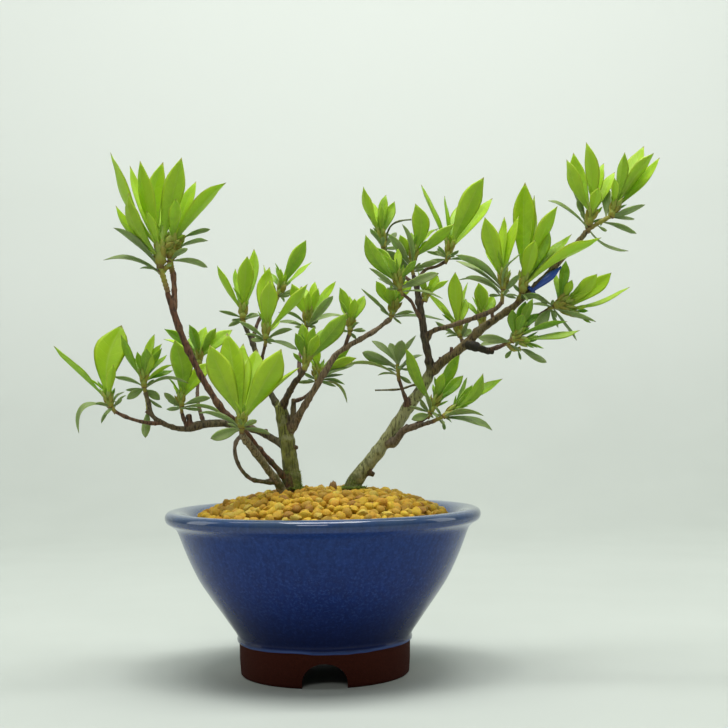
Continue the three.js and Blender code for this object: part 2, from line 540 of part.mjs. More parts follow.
      [0.6, 55.7, 147.2, 4, 2.4, 0.03],
    ],
    mature: [],
  },
  bough_tip_a: {
    depth: -16,
    stalks: [[[71.3, 147, 0], [71.7, 152, 0]]],
    axes: [[[71.8, 152.6, 0], [72.3, 160, 0]]],
    fresh: [
      [0.7, 64.4, 180.7, -4, 7.6, 0.03], [0.9, 78, 181, 3, 4.2, 0.03],
      [0.95, 73, 180.4, 8, 2.6, 0.03], [0.3, 64, 168, 4, 3.2, 0.05],
    ],
    mature: [
      [0.85, 52.6, 164.8, -2, 2.2, 0.14], [0.8, 52.8, 163, 4, 1.8, 0.05],
      [0.5, 56.8, 156.4, -3, 1.9, 0.12], [0.2, 54, 155.6, 3, 1.3, 0.16],
      [0.6, 78.2, 157.4, -3, 2.6, 0.06], [0.8, 79.2, 165.4, -13, 1.6, 0.16],
    ],
  },
  bough_tip_b: {
    depth: -10,
    stalks: [[[78, 147.9, 0.8], [79.2, 150.4, 0]]],
    axes: [[[79.4, 151, 0], [81.2, 159.4, 0]]],
    fresh: [
      [0.98, 80.4, 194.8, 2, 9.4, -0.03], [0.98, 83.6, 190, 9, 4.4, 0.02],
      [0.9, 93.8, 185.2, -3, 5.2, 0.04], [0.7, 90.6, 176.2, 2, 6.6, 0.03],
      [0.8, 87.2, 174.4, 8, 4, 0.03], [0.3, 99.8, 173, 3, 3, 0.03],
      [0.2, 112, 171.4, -8, 4.6, 0.03, -0.04], [0.15, 84.4, 171.6, -7, 6.4, 0.02],
      [0.5, 94.1, 169, 5, 3.4, 0.05],
    ],
    mature: [[0.4, 86.8, 149, -5, 2.4, 0.1], [0.5, 88.6, 147.4, 1, 1.8, 0.1]],
  },
  lower_right: {
    depth: -14,
    stalks: [[[73.1, 129.8, 0], [75.3, 130.8, 0]], [[73.1, 129.8, 0], [75.6, 127.4, 0], [78.6, 127.9, 0]]],
    axes: [[[75.7, 131.4, 0], [78.8, 135.6, 0]], [[75.9, 131.4, 0], [81.6, 130.6, 0]]],
    fresh: [
      [0.5, 81, 146.8, 3, 5.4, 0.03], [0.95, 83.8, 148, -2, 4, 0.04], [0.2, 75.4, 143.6, -2, 4.4, 0.04],
      [0.95, 79.6, 141.6, -6, 4.2, 0.0], [0.9, 97.3, 138.9, -2, 2.6, 0],
      [1.95, 102.5, 134.6, -2, 3.4, -0.02], [0.9, 86, 142, 6, 3, 0.05],
    ],
    mature: [
      [0.7, 61.5, 132.2, -2, 3.8, 0.14], [0.5, 62.4, 129.2, -4, 2, 0.06], [1.5, 72.4, 124, 3, 1.8, 0.03],
      [1.95, 89, 122.2, -3, 2.6, 0.18], [1.7, 85.8, 124, 5, 1.4, 0.08],
    ],
  },
  far_right: {
    depth: -8,
    stalks: [[[90, 143.5, 0], [92.2, 144.8, 0]]],
    axes: [[[92.7, 145.2, 0], [98.8, 148.2, 0]], [[92.8, 145, 0], [102.2, 142.2, 0]]],
    fresh: [
      [0.95, 99.6, 155.4, -2, 3.6, 0.02], [0.5, 97, 163.3, 4, 4.4, 0.03],
      [0.3, 92.6, 157.6, 8, 3.2, 0.03], [0.9, 104, 153.6, 5, 1.8, 0.02],
      [1.95, 109.6, 157.8, -4, 6, 0.03], [1.98, 115.5, 157.9, 3, 6, 0.05], [1.9, 122.4, 153.3, -2, 2.6, 0.07],
    ],
    mature: [
      [0.9, 80.8, 149.6, 5, 1.6, 0.06], [0.7, 83.4, 145.6, -4, 1.4, 0.05], [0.6, 109, 138.6, -5, 1.8, -0.02],
      [0.7, 101.3, 131.2, 2, 2, -0.02], [0.4, 84.4, 135.4, -4, 4.6, 0.08],
    ],
  },
  crown_right_a: {
    depth: -4,
    stalks: [],
    axes: [[[106.8, 178.2, 0], [108.6, 187, 0]]],
    fresh: [
      [0.8, 98, 204.4, -2, 5, -0.04, -0.04], [0.9, 99.8, 206.9, 5, 6, -0.05],
      [0.98, 105.5, 211.3, -4, 5, 0.02, 0.03], [0.95, 112, 202.9, 3, 4.6, 0.03],
      [0.7, 110.4, 192.4, -8, 5, 0.0], [0.6, 116.7, 199.5, 6, 3.4, -0.02],
    ],
    mature: [],
  },
  crown_right_b: {
    depth: -4,
    stalks: [
      [[105.5, 175.1, 0], [108.5, 177.3, 0], [115.2, 181.2, 0]],
      [[105.9, 175.6, 0.5], [104.8, 181.5, 4.5]],
    ],
    axes: [[[115.7, 181.7, 0], [118.3, 187.5, 0]]],
    fresh: [
      [0.98, 120.8, 207.1, -3, 3.8, 0.02],
      [0.9, 129.4, 209.2, 5, 5, 0.04], [0.95, 132.6, 207, -4, 5, 0.04],
      [0.8, 135.3, 204.6, 2, 5, -0.05], [0.93, 117, 196.6, -7, 3, 0.01],
    ],
    mature: [
      [0.8, 112.8, 194.6, 7, 4, 0.03], [0.9, 114.4, 192.6, 12, 4, 0.02],
      [1.9, 98.8, 194.7, 4, 2, 0.03], [1.8, 101.8, 188, 3, 2.6, 0.03],
      [0.1, 90.2, 187.9, -3, 1.6, 0.06], [0.78, 129.2, 185.8, -2, 2.4, -0.02],
      [0.9, 124.6, 179.7, 3, 1.8, 0.02], [0.6, 125.3, 173.6, -3, 1.4, 0.05], [0.1, 122, 166.8, 1, 2.2, -0.15],
    ],
  },
  upright_side: {
    depth: -9,
    stalks: [],
    axes: [[[40.5, 147.8, 0], [41.3, 151, 0]]],
    fresh: [
      [0.8, 38.8, 156.6, -2, 3, 0.04], [0.9, 45.8, 157.1, 2, 4, 0.04],
      [0.6, 49.8, 155.2, -3, 1.8, 0.03],
    ],
    mature: [],
  },
};

// ---------------------------------------------------------------- closed solids from rings

// One closed body through rings of points. Each ring runs anticlockwise seen from the far end.
// The diagonals alternate, so that both faces of a thin blade are split alike. With a tip the
// last ring closes on that point.
function loft(rings, tip) {
  const sides = rings[0].length;
  const points = rings.flat();
  const triangles = [];
  for (let i = 0; i + 1 < rings.length; i += 1) {
    for (let k = 0; k < sides; k += 1) {
      const next = (k + 1) % sides;
      const a = i * sides + k;
      const b = i * sides + next;
      const c = (i + 1) * sides + next;
      const d = (i + 1) * sides + k;
      if (k % 2 === 0) triangles.push([a, b, c], [a, c, d]);
      else triangles.push([a, b, d], [b, c, d]);
    }
  }
  for (let k = 1; k + 1 < sides; k += 1) triangles.push([0, k + 1, k]);
  const last = (rings.length - 1) * sides;
  if (tip) {
    const tipIndex = points.push(tip) - 1;
    for (let k = 0; k < sides; k += 1) triangles.push([last + k, last + ((k + 1) % sides), tipIndex]);
  } else {
    for (let k = 1; k + 1 < sides; k += 1) triangles.push([last, last + k, last + k + 1]);
  }
  return solidFromTriangles(points, triangles);
}

function solidFromTriangles(points, triangles) {
  const vertProperties = new Float32Array(points.flatMap((p) => [p.x, p.y, p.z]));
  const triVerts = new Uint32Array(triangles.flat());
  return new wasm.Manifold(new wasm.Mesh({ numProp: 3, vertProperties, triVerts }));
}

function solidFromGeometry(geometry, matrix = new THREE.Matrix4()) {
  const bare = geometry.index ? geometry.toNonIndexed() : geometry.clone();
  bare.deleteAttribute("normal");
  bare.deleteAttribute("uv");
  bare.applyMatrix4(matrix);
  const merged = mergeVertices(bare, 1e-4);
  return new wasm.Manifold(
    new wasm.Mesh({
      numProp: 3,
      vertProperties: merged.attributes.position.array,
      triVerts: new Uint32Array(merged.index.array),
    }),
  );
}

function geometryFromSolid(solid) {
  const mesh = solid.getMesh();
  const geometry = new THREE.BufferGeometry();
  geometry.setAttribute("position", new THREE.BufferAttribute(mesh.vertProperties, 3));
  geometry.setIndex(new THREE.BufferAttribute(mesh.triVerts, 1));
  geometry.computeVertexNormals();
  return geometry;
}

function union(solids) {
  return solids.reduce((joined, solid) => joined.add(solid));
}

// A round tube of changing radius along a broken line, its rings carried without twist.
function tube(path, radii, sides) {
  const rings = [];
  let side = new THREE.Vector3(0, 1, 0);
  for (let i = 0; i < path.length; i += 1) {
    const before = path[Math.max(i - 1, 0)];
    const after = path[Math.min(i + 1, path.length - 1)];
    const along = after.clone().sub(before).normalize();
    side = side.clone().addScaledVector(along, -side.dot(along)).normalize();
    const third = along.clone().cross(side);
    const ring = [];
    for (let k = 0; k < sides; k += 1) {
      const angle = (2 * Math.PI * k) / sides;
      const point = path[i].clone();
      point.addScaledVector(side, radii[i] * Math.cos(angle));
      point.addScaledVector(third, radii[i] * Math.sin(angle));
      ring.push(point);
    }
    rings.push(ring);
  }
  return loft(rings);
}

// ---------------------------------------------------------------- pot and filling

function lathe(outline, sides = ROUND_SIDES) {
  const points = outline.map(([radius, height]) => new THREE.Vector2(radius, height));
  const upright = new THREE.Matrix4().makeRotationX(Math.PI / 2);
  return solidFromGeometry(new THREE.LatheGeometry(points, sides), upright);
}

function notchCutter(angle) {
  const half = POT.notchWidth / 2;
  const arch = new THREE.Shape();
  arch.moveTo(-half, -2);
  arch.lineTo(half, -2);
  arch.absellipse(0, POT.notchSpring, half, POT.notchHeight - POT.notchSpring, 0, Math.PI);
  const depth = 16;
  const bar = new THREE.ExtrudeGeometry(arch, { depth, bevelEnabled: false, curveSegments: 8 });
  const matrix = new THREE.Matrix4().makeRotationZ(angle + Math.PI / 2);
  matrix.multiply(new THREE.Matrix4().makeTranslation(0, -22, 0));
  matrix.multiply(new THREE.Matrix4().makeRotationX(Math.PI / 2));
  return solidFromGeometry(bar, matrix);
}

function potSolid() {
  const outline = [
    ...POT_OUTSIDE,
    ...POT_INSIDE,
    [POT.drainRadius, POT.floorTop],
    [POT.drainRadius, POT.floorUnder],
    [POT.footInner - 1.2, POT.floorUnder],
    POT_OUTSIDE[0],
  ];
  let pot = lathe(outline);
  for (let i = 0; i < POT.notchCount; i += 1) {
    pot = pot.subtract(notchCutter(POT.firstNotch + (2 * Math.PI * i) / POT.notchCount));
  }
  return pot;
}

function boxSolid(width, depth, height, x, y, z) {
  const matrix = new THREE.Matrix4().makeTranslation(x, y, z + height / 2);
  return solidFromGeometry(new THREE.BoxGeometry(width, depth, height), matrix);
}

function netSolid() {
  const base = POT.floorTop + GAP;
  const pitch = (NET.size - NET.bar) / NET.cells;
  const open = pitch - NET.bar;
  let net = boxSolid(NET.size, NET.size, NET.thickness, 0, 0, base);
  for (let i = 0; i < NET.cells; i += 1) {
    for (let j = 0; j < NET.cells; j += 1) {
      const x = (i - (NET.cells - 1) / 2) * pitch;
      const y = (j - (NET.cells - 1) / 2) * pitch;
      net = net.subtract(boxSolid(open, open, NET.thickness + 2, x, y, base - 1));
    }
  }
  return net;
}

// The stems' buried ends, or the plain holes that they stand in when widened by a clearance.
function buriedParts(clearance) {
  const stems = ["left_trunk", "right_trunk", "grey_stem", "long_stem"].map((name) =>
    BRANCHES[name].slice(0, 3),
  );
  return union([...BURIED, ...stems].map((branch) => branchSolid(branch, clearance)));
}

function soilSolid() {
  const wall = POT_INSIDE.slice(1).map(([radius, height]) => [radius - 0.5, height + GAP]);
  const outline = [
    [0, POT.floorTop + GAP],
    ...wall.reverse(),
    [POT_INSIDE[0][0] - 0.5, DRESSING.edgeBottom - GAP],
    [0, DRESSING.crownBottom - GAP],
  ];
  const pocket = NET.size + 2 * GAP;
  const recess = boxSolid(pocket, pocket, NET.thickness + 2 * GAP, 0, 0, POT.floorTop);
  return lathe(outline).subtract(recess).subtract(buriedParts(GAP + 0.15));
}

// A small repeatable draw, so that the granules lie the same way every time.
function drawer(seed) {
  let state = seed;
  return () => {
    state = (state * 1103515245 + 12345) % 2147483648;
    return state / 2147483648;
  };
}

function moundHeight(x, y) {
  const out = Math.hypot(x - DRESSING.crownShift * (1 - Math.hypot(x, y) / DRESSING.radius), y);
  const share = Math.min(out / DRESSING.radius, 1);
  return DRESSING.edgeTop + (DRESSING.crownTop - DRESSING.edgeTop) * (1 - share ** DRESSING.crownPower);
}

// The mound of granules: rings of points in a triangle pattern, every third one a granule's top.
function dressingSolid() {
  const draw = drawer(7);
  const points = [new THREE.Vector3(0, 0, DRESSING.crownTop)];
  const triangles = [];
  const start = [0];
  const corner = [[1, 0], [0, 1], [-1, 1], [-1, 0], [0, -1], [1, -1]];
  for (let ring = 1; ring <= DRESSING.rings; ring += 1) {
    start.push(points.length);
    for (let i = 0; i < 6 * ring; i += 1) {
      const side = Math.floor(i / ring);
      const step = i % ring;
      const turn = corner[(side + 2) % 6];
      const q = corner[side][0] * ring + turn[0] * step;
      const r = corner[side][1] * ring + turn[1] * step;
      const top = (((q - r) % 3) + 3) % 3 === 0;
      const edge = ring === DRESSING.rings;
      const radius = (DRESSING.radius * (ring + (edge ? 0 : 0.3 * (draw() - 0.5)))) / DRESSING.rings;
      const angle = (2 * Math.PI * (i + (edge ? 0 : 0.3 * (draw() - 0.5)))) / (6 * ring);
      const x = radius * Math.cos(angle);
      const y = radius * Math.sin(angle);
      const bump = edge ? -0.4 : DRESSING.relief * (top ? 0.6 + 0.6 * draw() : -0.5 - 0.4 * draw());
      points.push(new THREE.Vector3(x, y, moundHeight(x, y) + bump));
    }
    const inner = 6 * (ring - 1);
    for (let i = 0; i < 6 * ring; i += 1) {
      const side = Math.floor(i / ring);
      const here = start[ring] + i;
      const next = start[ring] + ((i + 1) % (6 * ring));
      const at = inner ? start[ring - 1] + ((i - side) % inner) : 0;
      triangles.push([here, next, at]);
      if (i % ring !== ring - 1) {
        const after = start[ring - 1] + ((i - side + 1) % inner);
        triangles.push([next, after, at]);
      }
    }
  }
  const rim = start[DRESSING.rings];
  const count = 6 * DRESSING.rings;
  const low = points.length;
  for (let i = 0; i < count; i += 1) {
    points.push(new THREE.Vector3(points[rim + i].x, points[rim + i].y, DRESSING.edgeBottom));
  }
  const bottom = points.push(new THREE.Vector3(0, 0, DRESSING.crownBottom)) - 1;
  for (let i = 0; i < count; i += 1) {
    const next = (i + 1) % count;
    triangles.push([low + i, low + next, rim + next], [low + i, rim + next, rim + i]);
    triangles.push([low + next, low + i, bottom]);
  }
  return solidFromTriangles(points, triangles).subtract(buriedParts(GAP + 0.15));
}

// ---------------------------------------------------------------- wood

function branchSolid(branch, clearance = 0) {
  const path = branch.map(place);
  const radii = branch.map(([, , depth, diameter]) => (diameter / 2) * scaleAt(depth) + clearance);
  const thickest = Math.max(...radii);
  return tube(path, radii, thickest > 2.2 ? 6 : thickest > 0.95 ? 4 : 3);
}

function woodSolid() {
  return union([...BURIED, ...Object.values(BRANCHES)].map((branch) => branchSolid(branch)));
}

// ---------------------------------------------------------------- leafy shoots

// The point at a share of the way along a broken line, and the line's direction there.
function along(line, share) {
  const lengths = line.slice(1).map((point, i) => point.distanceTo(line[i]));
  let left = share * lengths.reduce((sum, length) => sum + length, 0);
  let i = 0;
  while (i < lengths.length - 1 && left > lengths[i]) {
    left -= lengths[i];
    i += 1;
  }
  const point = line[i].clone().lerp(line[i + 1], Math.min(left / lengths[i], 1));
  return { point, direction: line[i + 1].clone().sub(line[i]).normalize() };
}

// How a blade lies: its width runs mostly across the shoot, turned about the chord as little as
// it takes for the blade to show its given width from the front.
function bladeWidthDirection(chord, axis, shown) {
  const toAxis = axis.clone().addScaledVector(chord, -axis.dot(chord));
  if (toAxis.lengthSq() < 1e-3) toAxis.set(0, 1, 0).addScaledVector(chord, -chord.y);
  toAxis.normalize();
  const natural = toAxis.clone().cross(chord).normalize();
  const across = new THREE.Vector3(0, 1, 0).cross(chord).normalize();
  const inward = chord.clone().cross(across);
  const turn = Math.acos(Math.min(shown, 1));
  const sideSign = Math.sign(natural.dot(across)) || 1;
  const inSign = Math.sign(natural.dot(inward)) || 1;
  return across
    .multiplyScalar(sideSign * Math.cos(turn))
    .addScaledVector(inward, inSign * Math.sin(turn))
    .normalize();
}

function leafSolid(root, axis, tip, seenWidth, bow, sway, ratio) {
  const chord = tip.clone().sub(root);
  const length = chord.length();
  chord.normalize();
  const seen = seenWidth * scaleAt(tip.y);
  const width = Math.max(seen, ratio * length);
  let across = bladeWidthDirection(chord, axis, seen / width);
  let face = chord.clone().cross(across);
  if (face.dot(axis) < 0) {
    across = across.negate();
    face = face.negate();
  }
  const right = new THREE.Vector3(chord.z, 0, -chord.x).normalize();
  if (right.x < 0) right.negate();
  const middle = root.clone().lerp(tip, 0.5).addScaledVector(face, 2 * bow * length);
  middle.addScaledVector(right, 2 * sway * length);
  const spine = new THREE.QuadraticBezierCurve3(root, middle, tip);
  const plain = seenWidth < LEAF.narrow && Math.abs(bow) + Math.abs(sway) < LEAF.straight;
  const few = length < LEAF.short || plain;
  const outline = width > LEAF.broad ? BROAD_BLADE : few ? SHORT_BLADE : SLIM_BLADE;
  const stations = [[0, LEAF.rootWidth / width], ...outline];
  const rings = stations.map(([share, wide]) => {
    const centre = spine.getPoint(share);
    const forward = spine.getTangent(share);
    const normal = forward.clone().cross(across).normalize();
    const half = (width * wide) / 2;
    const lift = share ? LEAF.lift * half : 0;
    const rib = (share ? LEAF.thickness : LEAF.rootThickness) / 2;
    return [
      centre.clone().addScaledVector(across, half).addScaledVector(normal, lift),
      centre.clone().addScaledVector(normal, rib),
      centre.clone().addScaledVector(across, -half).addScaledVector(normal, lift),
      centre.clone().addScaledVector(normal, -rib),
    ];
  });
  return loft(rings, tip);
}

function leafyBody(lines, leaves, depth, ratio, radius, tipRadius) {
  const cores = lines.map((line) => line.map(([a, u, d]) => place([a, u, d + depth])));
  const parts = cores.map((core) => {
    const radii = core.map((point, i) => radius + ((tipRadius - radius) * i) / (core.length - 1));
    return tube(core, radii, CORE.sides);
  });
  leaves.forEach(([at, a, u, d, seenWidth, bow, sway = 0]) => {
    const { point, direction } = along(cores[Math.floor(at)], at - Math.floor(at));
    const tip = place([a, u, d + depth]);
    parts.push(leafSolid(point, direction, tip, seenWidth, bow, sway, ratio));
  });
  return union(parts);
}

// ---------------------------------------------------------------- tag

// A plain strip of vinyl, looped round the bough at one end.
function tagSolid() {
  const start = place([82.2, 150.6, -7.6]);
  const end = place([91, 158, -7.1]);
  const reach = end.clone().sub(start).normalize();
  const ring = new THREE.Shape();
  ring.absarc(0, 0, TAG.ring, 0, 2 * Math.PI, false);
  const bore = new THREE.Path();
  bore.absarc(0, 0, TAG.bore, 0, 2 * Math.PI, true);
  ring.holes.push(bore);
  const round = { depth: TAG.band, bevelEnabled: false, curveSegments: 8 };
  const loopShape = new THREE.ExtrudeGeometry(ring, round);
  const turn = new THREE.Quaternion().setFromUnitVectors(new THREE.Vector3(0, 0, 1), reach);
  const stand = new THREE.Matrix4().compose(start, turn, new THREE.Vector3(1, 1, 1));
  const loop = solidFromGeometry(loopShape, stand);
  const front = new THREE.Vector3(0.16, -0.95, -0.2);
  const away = front.addScaledVector(reach, -front.dot(reach)).normalize();
  const across = reach.clone().cross(away);
  const shares = [
    [0, 0.45],
    [0.3, 0.82],
    [0.62, 1],
    [0.85, 0.8],
    [1, 0.32],
  ];
  const rings = shares.map(([share, wide]) => {
    const centre = start.clone().addScaledVector(reach, share * TAG.length + 0.4);
    centre.addScaledVector(away, TAG.bore + TAG.thickness / 2 + 0.15);
    const half = (TAG.width * wide) / 2;
    const corners = [[1, 1], [-1, 1], [-1, -1], [1, -1]];
    return corners.map(([w, n]) =>
      centre
        .clone()
        .addScaledVector(across, -w * half)
        .addScaledVector(away, (n * TAG.thickness) / 2),
    );
  });
  return loop.add(loft(rings));
}

// ---------------------------------------------------------------- the scene graph

const FINISH = {
  glaze: new THREE.MeshStandardMaterial({ color: 0x24356b, roughness: 0.22, metalness: 0 }),
  netting: new THREE.MeshStandardMaterial({ color: 0x20242a, roughness: 0.6, metalness: 0 }),
  soil: new THREE.MeshStandardMaterial({ color: 0x9a7a3c, roughness: 0.95, metalness: 0 }),
  granules: new THREE.MeshStandardMaterial({ color: 0xc79a3f, roughness: 0.9, metalness: 0 }),
  bark: new THREE.MeshStandardMaterial({ color: 0x5d5138, roughness: 0.85, metalness: 0 }),
  newLeaf: new THREE.MeshStandardMaterial({ color: 0x86ad2e, roughness: 0.55, metalness: 0 }),
  oldLeaf: new THREE.MeshStandardMaterial({ color: 0x4f7440, roughness: 0.6, metalness: 0 }),
  vinyl: new THREE.MeshStandardMaterial({ color: 0x27408f, roughness: 0.4, metalness: 0 }),
};

function named(name, solid, material) {
  const mesh = new THREE.Mesh(geometryFromSolid(solid), material.clone());
  mesh.name = name;
  return mesh;
}

function growth() {
  const meshes = [];
  for (const [name, shoot] of Object.entries(SHOOTS)) {
    if (shoot.mature.length) {
      const body = leafyBody(
        shoot.stalks, shoot.mature, shoot.depth, LEAF.oldRatio, CORE.tipRadius, CORE.tipRadius,
      );
      meshes.push(named(`${name}_old_leaves`, body, FINISH.oldLeaf));
    }
    if (shoot.fresh.length) {
      const body = leafyBody(
        shoot.axes, shoot.fresh, shoot.depth, LEAF.newRatio, CORE.radius, CORE.tipRadius,
      );
      meshes.push(named(`${name}_new_leaves`, body, FINISH.newLeaf));
    }
  }
  return meshes;
}

const bonsai = new THREE.Group();
bonsai.add(
  named("pot", potSolid(), FINISH.glaze),
  named("drainage_net", netSolid(), FINISH.netting),
  named("potting_soil", soilSolid(), FINISH.soil),
  named("top_dressing", dressingSolid(), FINISH.granules),
  named("trunk_and_branches", woodSolid(), FINISH.bark),
  named("branch_tag", tagSolid(), FINISH.vinyl),
  ...growth(),
);

// The part's origin is at the middle of its footprint's box, on the surface it stands on.
const extent = new THREE.Box3().setFromObject(bonsai, true);
const middle = extent.getCenter(new THREE.Vector3());
bonsai.position.set(-middle.x, -middle.y, 0);

const part = new THREE.Group();
part.add(bonsai);
export default part;
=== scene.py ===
import math
import random
from itertools import accumulate

import bmesh
import bpy
import numpy as np
from mathutils import Matrix, Quaternion, Vector, noise
from mathutils.kdtree import KDTree


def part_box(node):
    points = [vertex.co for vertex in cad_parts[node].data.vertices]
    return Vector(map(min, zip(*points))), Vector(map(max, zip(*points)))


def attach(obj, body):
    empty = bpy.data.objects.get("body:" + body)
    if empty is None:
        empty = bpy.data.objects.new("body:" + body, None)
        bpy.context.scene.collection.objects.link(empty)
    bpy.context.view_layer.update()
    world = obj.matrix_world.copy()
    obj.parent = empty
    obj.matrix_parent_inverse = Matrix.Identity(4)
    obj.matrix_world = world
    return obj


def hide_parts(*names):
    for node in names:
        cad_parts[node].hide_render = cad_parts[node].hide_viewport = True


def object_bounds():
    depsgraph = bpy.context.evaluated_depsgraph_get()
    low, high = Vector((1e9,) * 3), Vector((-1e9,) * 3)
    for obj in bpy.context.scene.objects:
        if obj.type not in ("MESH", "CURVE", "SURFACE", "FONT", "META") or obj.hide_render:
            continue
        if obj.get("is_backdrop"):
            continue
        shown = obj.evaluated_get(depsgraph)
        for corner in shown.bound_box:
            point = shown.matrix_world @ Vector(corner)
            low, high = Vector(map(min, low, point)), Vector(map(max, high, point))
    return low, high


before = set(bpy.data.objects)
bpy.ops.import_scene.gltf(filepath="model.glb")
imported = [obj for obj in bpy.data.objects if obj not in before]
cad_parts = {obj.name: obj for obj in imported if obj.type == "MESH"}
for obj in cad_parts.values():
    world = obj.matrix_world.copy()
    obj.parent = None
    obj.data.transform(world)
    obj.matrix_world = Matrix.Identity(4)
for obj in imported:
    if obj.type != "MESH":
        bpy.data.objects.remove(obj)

CAD_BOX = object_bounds()
MM = 0.001
RIGHT, BACK, UP = Vector((1, 0, 0)), Vector((0, 1, 0)), Vector((0, 0, 1))
FULL_TURN = 2 * math.pi

# ---------------------------------------------------------------- places taken from the frame

POT_LOW, POT_HIGH = (Vector(corner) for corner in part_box("pot"))
POT_AXIS = Vector(((POT_LOW.x + POT_HIGH.x) / 2, (POT_LOW.y + POT_HIGH.y) / 2, 0))
DRESSING_LOW, DRESSING_HIGH = (Vector(corner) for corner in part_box("top_dressing"))

# ---------------------------------------------------------------- driving dimensions, millimetres

DRESSING_RADIUS = (DRESSING_HIGH.x - DRESSING_LOW.x) / 2 / MM
# Radius and height up the outside of the pot, over the rim and down the inside.
POT_OUTLINE = [
    (28.4, 0.0), (32.6, 0.0), (33.2, 0.6), (33.6, 6.0), (33.7, 11.2), (33.9, 12.6), (34.5, 13.3),
    (34.6, 14.2), (34.4, 15.2), (35.2, 16.8), (37.4, 20.0), (41.0, 25.2), (45.2, 31.2),
    (49.1, 37.2), (52.5, 44.0), (55.2, 50.4), (57.1, 55.4), (58.1, 57.4), (59.8, 58.8),
    (61.9, 60.1), (62.5, 61.7), (62.2, 63.2), (61.2, 64.1), (59.6, 64.45), (57.6, 64.2),
    (55.4, 63.5), (53.6, 62.2), (52.2, 60.2), (51.4, 57.6), (49.2, 50.0), (45.4, 42.0),
    (40.8, 34.0), (35.0, 27.0), (29.4, 22.2), (24.0, 19.6), (8.5, 19.6),
]
POT_UNDERSIDE = [(8.5, 12.8), (26.6, 12.6), (27.6, 11.6), (28.2, 9.0), (28.4, 1.0)]
# The first points keep their corners, and a curve with this step runs through the others.
POT_MESH = {"sharp_points": 2, "step": 0.9, "sides": 160, "bevel": 0.35, "bevel_angle": 50}
# The arches of the notches are cut from one radius to the other.
FOOT = {
    "glaze_edge": 12.9, "glaze_wander": 1.8, "notches": 3, "notch_width": 17.0, "notch_height": 9.3,
    "notch_spring": 2.0, "notch_turn": math.radians(1.5), "cut": (22, 38),
}
# Heights of the mound at its edge and top, how far the top stands from the axis, and how wide a
# strip along the edge has no granules.
MOUND = {"edge": 61.6, "top": 72.0, "shift": 3.0, "power": 2.8, "bare_edge": 1.9}
ROW_PITCH = 0.866
# Two layers of granules: pitch, radius, and height of their centres over the mound's skin.
GRANULE_LAYERS = [(3.9, 2.4, -2.7), (4.2, 2.5, -1.2)]
# Pairs are spans of random draws. Sizes, stretches and flat sides are shares of the radius, the
# jitter is one of the pitch, and "odd" is the share of granules with an odd tone.
GRANULE = {
    "size": (0.78, 1.14), "stretch": ((0.9, 1.32), (0.75, 1.0), (0.6, 0.85)), "jitter": 0.3,
    "uneven": 0.35, "facets": 8, "facet_at": (0.56, 0.84), "cut": 0.9, "sharp": 40,
    "off_stems": 0.7, "odd": 0.08, "odd_tones": (0.97, 1.0),
}
# The moss: each trunk with the height that it climbs and the width of its skirt.
FRINGE = {
    "trunks": [("left_trunk", 7.5, 1.4), ("right_trunk", 5.5, 2.6)], "blades": 1100, "step": 0.5,
    "skirt_height": 1.2, "length": (0.5, 1.2), "half_width": 0.17, "buried": 0.7,
}
FALLEN_BUD = {
    "scales": 9, "foot": (3.4, 70.6, -6), "axis": (0.12, -0.1, 1), "radius": 0.5, "width": 1.9,
    "bow": -0.22,
}
TAG = {
    "start": (82.2, 150.6, -7.6), "end": (91.0, 158.0, -7.1), "faces": (0.16, -0.95, -0.2),
    "length": 15.5, "half_width": 1.5, "half_thickness": 0.2, "off_bough": 1.95, "rows": 24,
    "sides": 32, "loop": ((2.2, -0.7), (2.2, 0.7), (1.85, 0.7), (1.85, -0.7)),
}

# The tree is laid out as a front elevation, drawn in perspective from this place. Its centre
# stands "x" from the pot's axis, and it leans to the right about that centre.
EYE = {"across": 16.2, "x": 17.0, "distance": 500.0, "up": 100.0}
LEAN = math.radians(0.8)
SEEDS = {"granules": 11, "moss": 5, "dry_bud": 3}

# The camera looks up by this angle. Its focal length is given for a frame of this width.
LOOK_UP = math.radians(2.475)
FOCAL_PIXELS = 1250.0
FRAME_PIXELS = 728.0

# A ratio is a blade's least width as a share of its length. Folds and waves are shares of its
# half width, hooks and leans of its length. Waves are counted in radians, the twist in degrees.
LEAF = {
    "new_ratio": 0.24, "old_ratio": 0.22, "new_tone": 0.15, "old_tone": 0.5, "thickness": 0.34,
    "fold": 0.24, "folds": (0.7, 1.35), "waves": (6.5, 12), "wave_size": (0.03, 0.11), "twist": 14,
    "hook": (-0.03, 0.045), "lean": 0.03,
}
# Sections along a blade and columns across it, for a leaf in slot 0 and a bud scale in slot 1.
BLADE_GRIDS = [(18, 8), (7, 4)]
# Radians from one leaf to the next, round the shoot.
NEXT_LEAF = 2.4
# Growing tips. New leaves stand on the share "leafy" of a tip, from "first_leaf" upwards.
BULB = {
    "scales": 10, "scale_ratio": 0.34, "inner_leaves": 10, "slender_ratio": 0.17, "radius": 0.98,
    "taper": 0.5, "swell": 0.4, "buried": 1.3, "first_leaf": 0.06, "leafy": 0.42,
}
STALK = {"radius": 0.8, "uneven": 0.1, "step": 0.5}
SMALL_LEAF = {"count": 5, "length": (4.5, 9.5), "width": (0.9, 1.6), "ratio": 0.16}
# Knots on a branch, and rings on twigs up to a radius: their pitch and reach, and how much they
# widen it. The reach of a ring is a share of its pitch.
KNOT = {"pitch": 12.0, "reach": 1.3, "size": 0.34, "on_trunk": 0.1, "trunk_width": 5}
RING = {"pitch": 6.5, "reach": 0.07, "size": 0.22, "up_to_radius": 1.3}
# Branches from the stout width up share one skin. Sides are those of a twig and of a stout one.
WOOD = {
    "step": 0.7, "stout": 1.9, "sides": (10, 16), "voxel": 0.34, "uneven": 0.08, "rugged": 0.06,
    "skin": 0.12, "ridges": 0.13, "lumps": 0.16,
}
RUGGED = {"rough_spur": 0.25, "upright": 0.16}
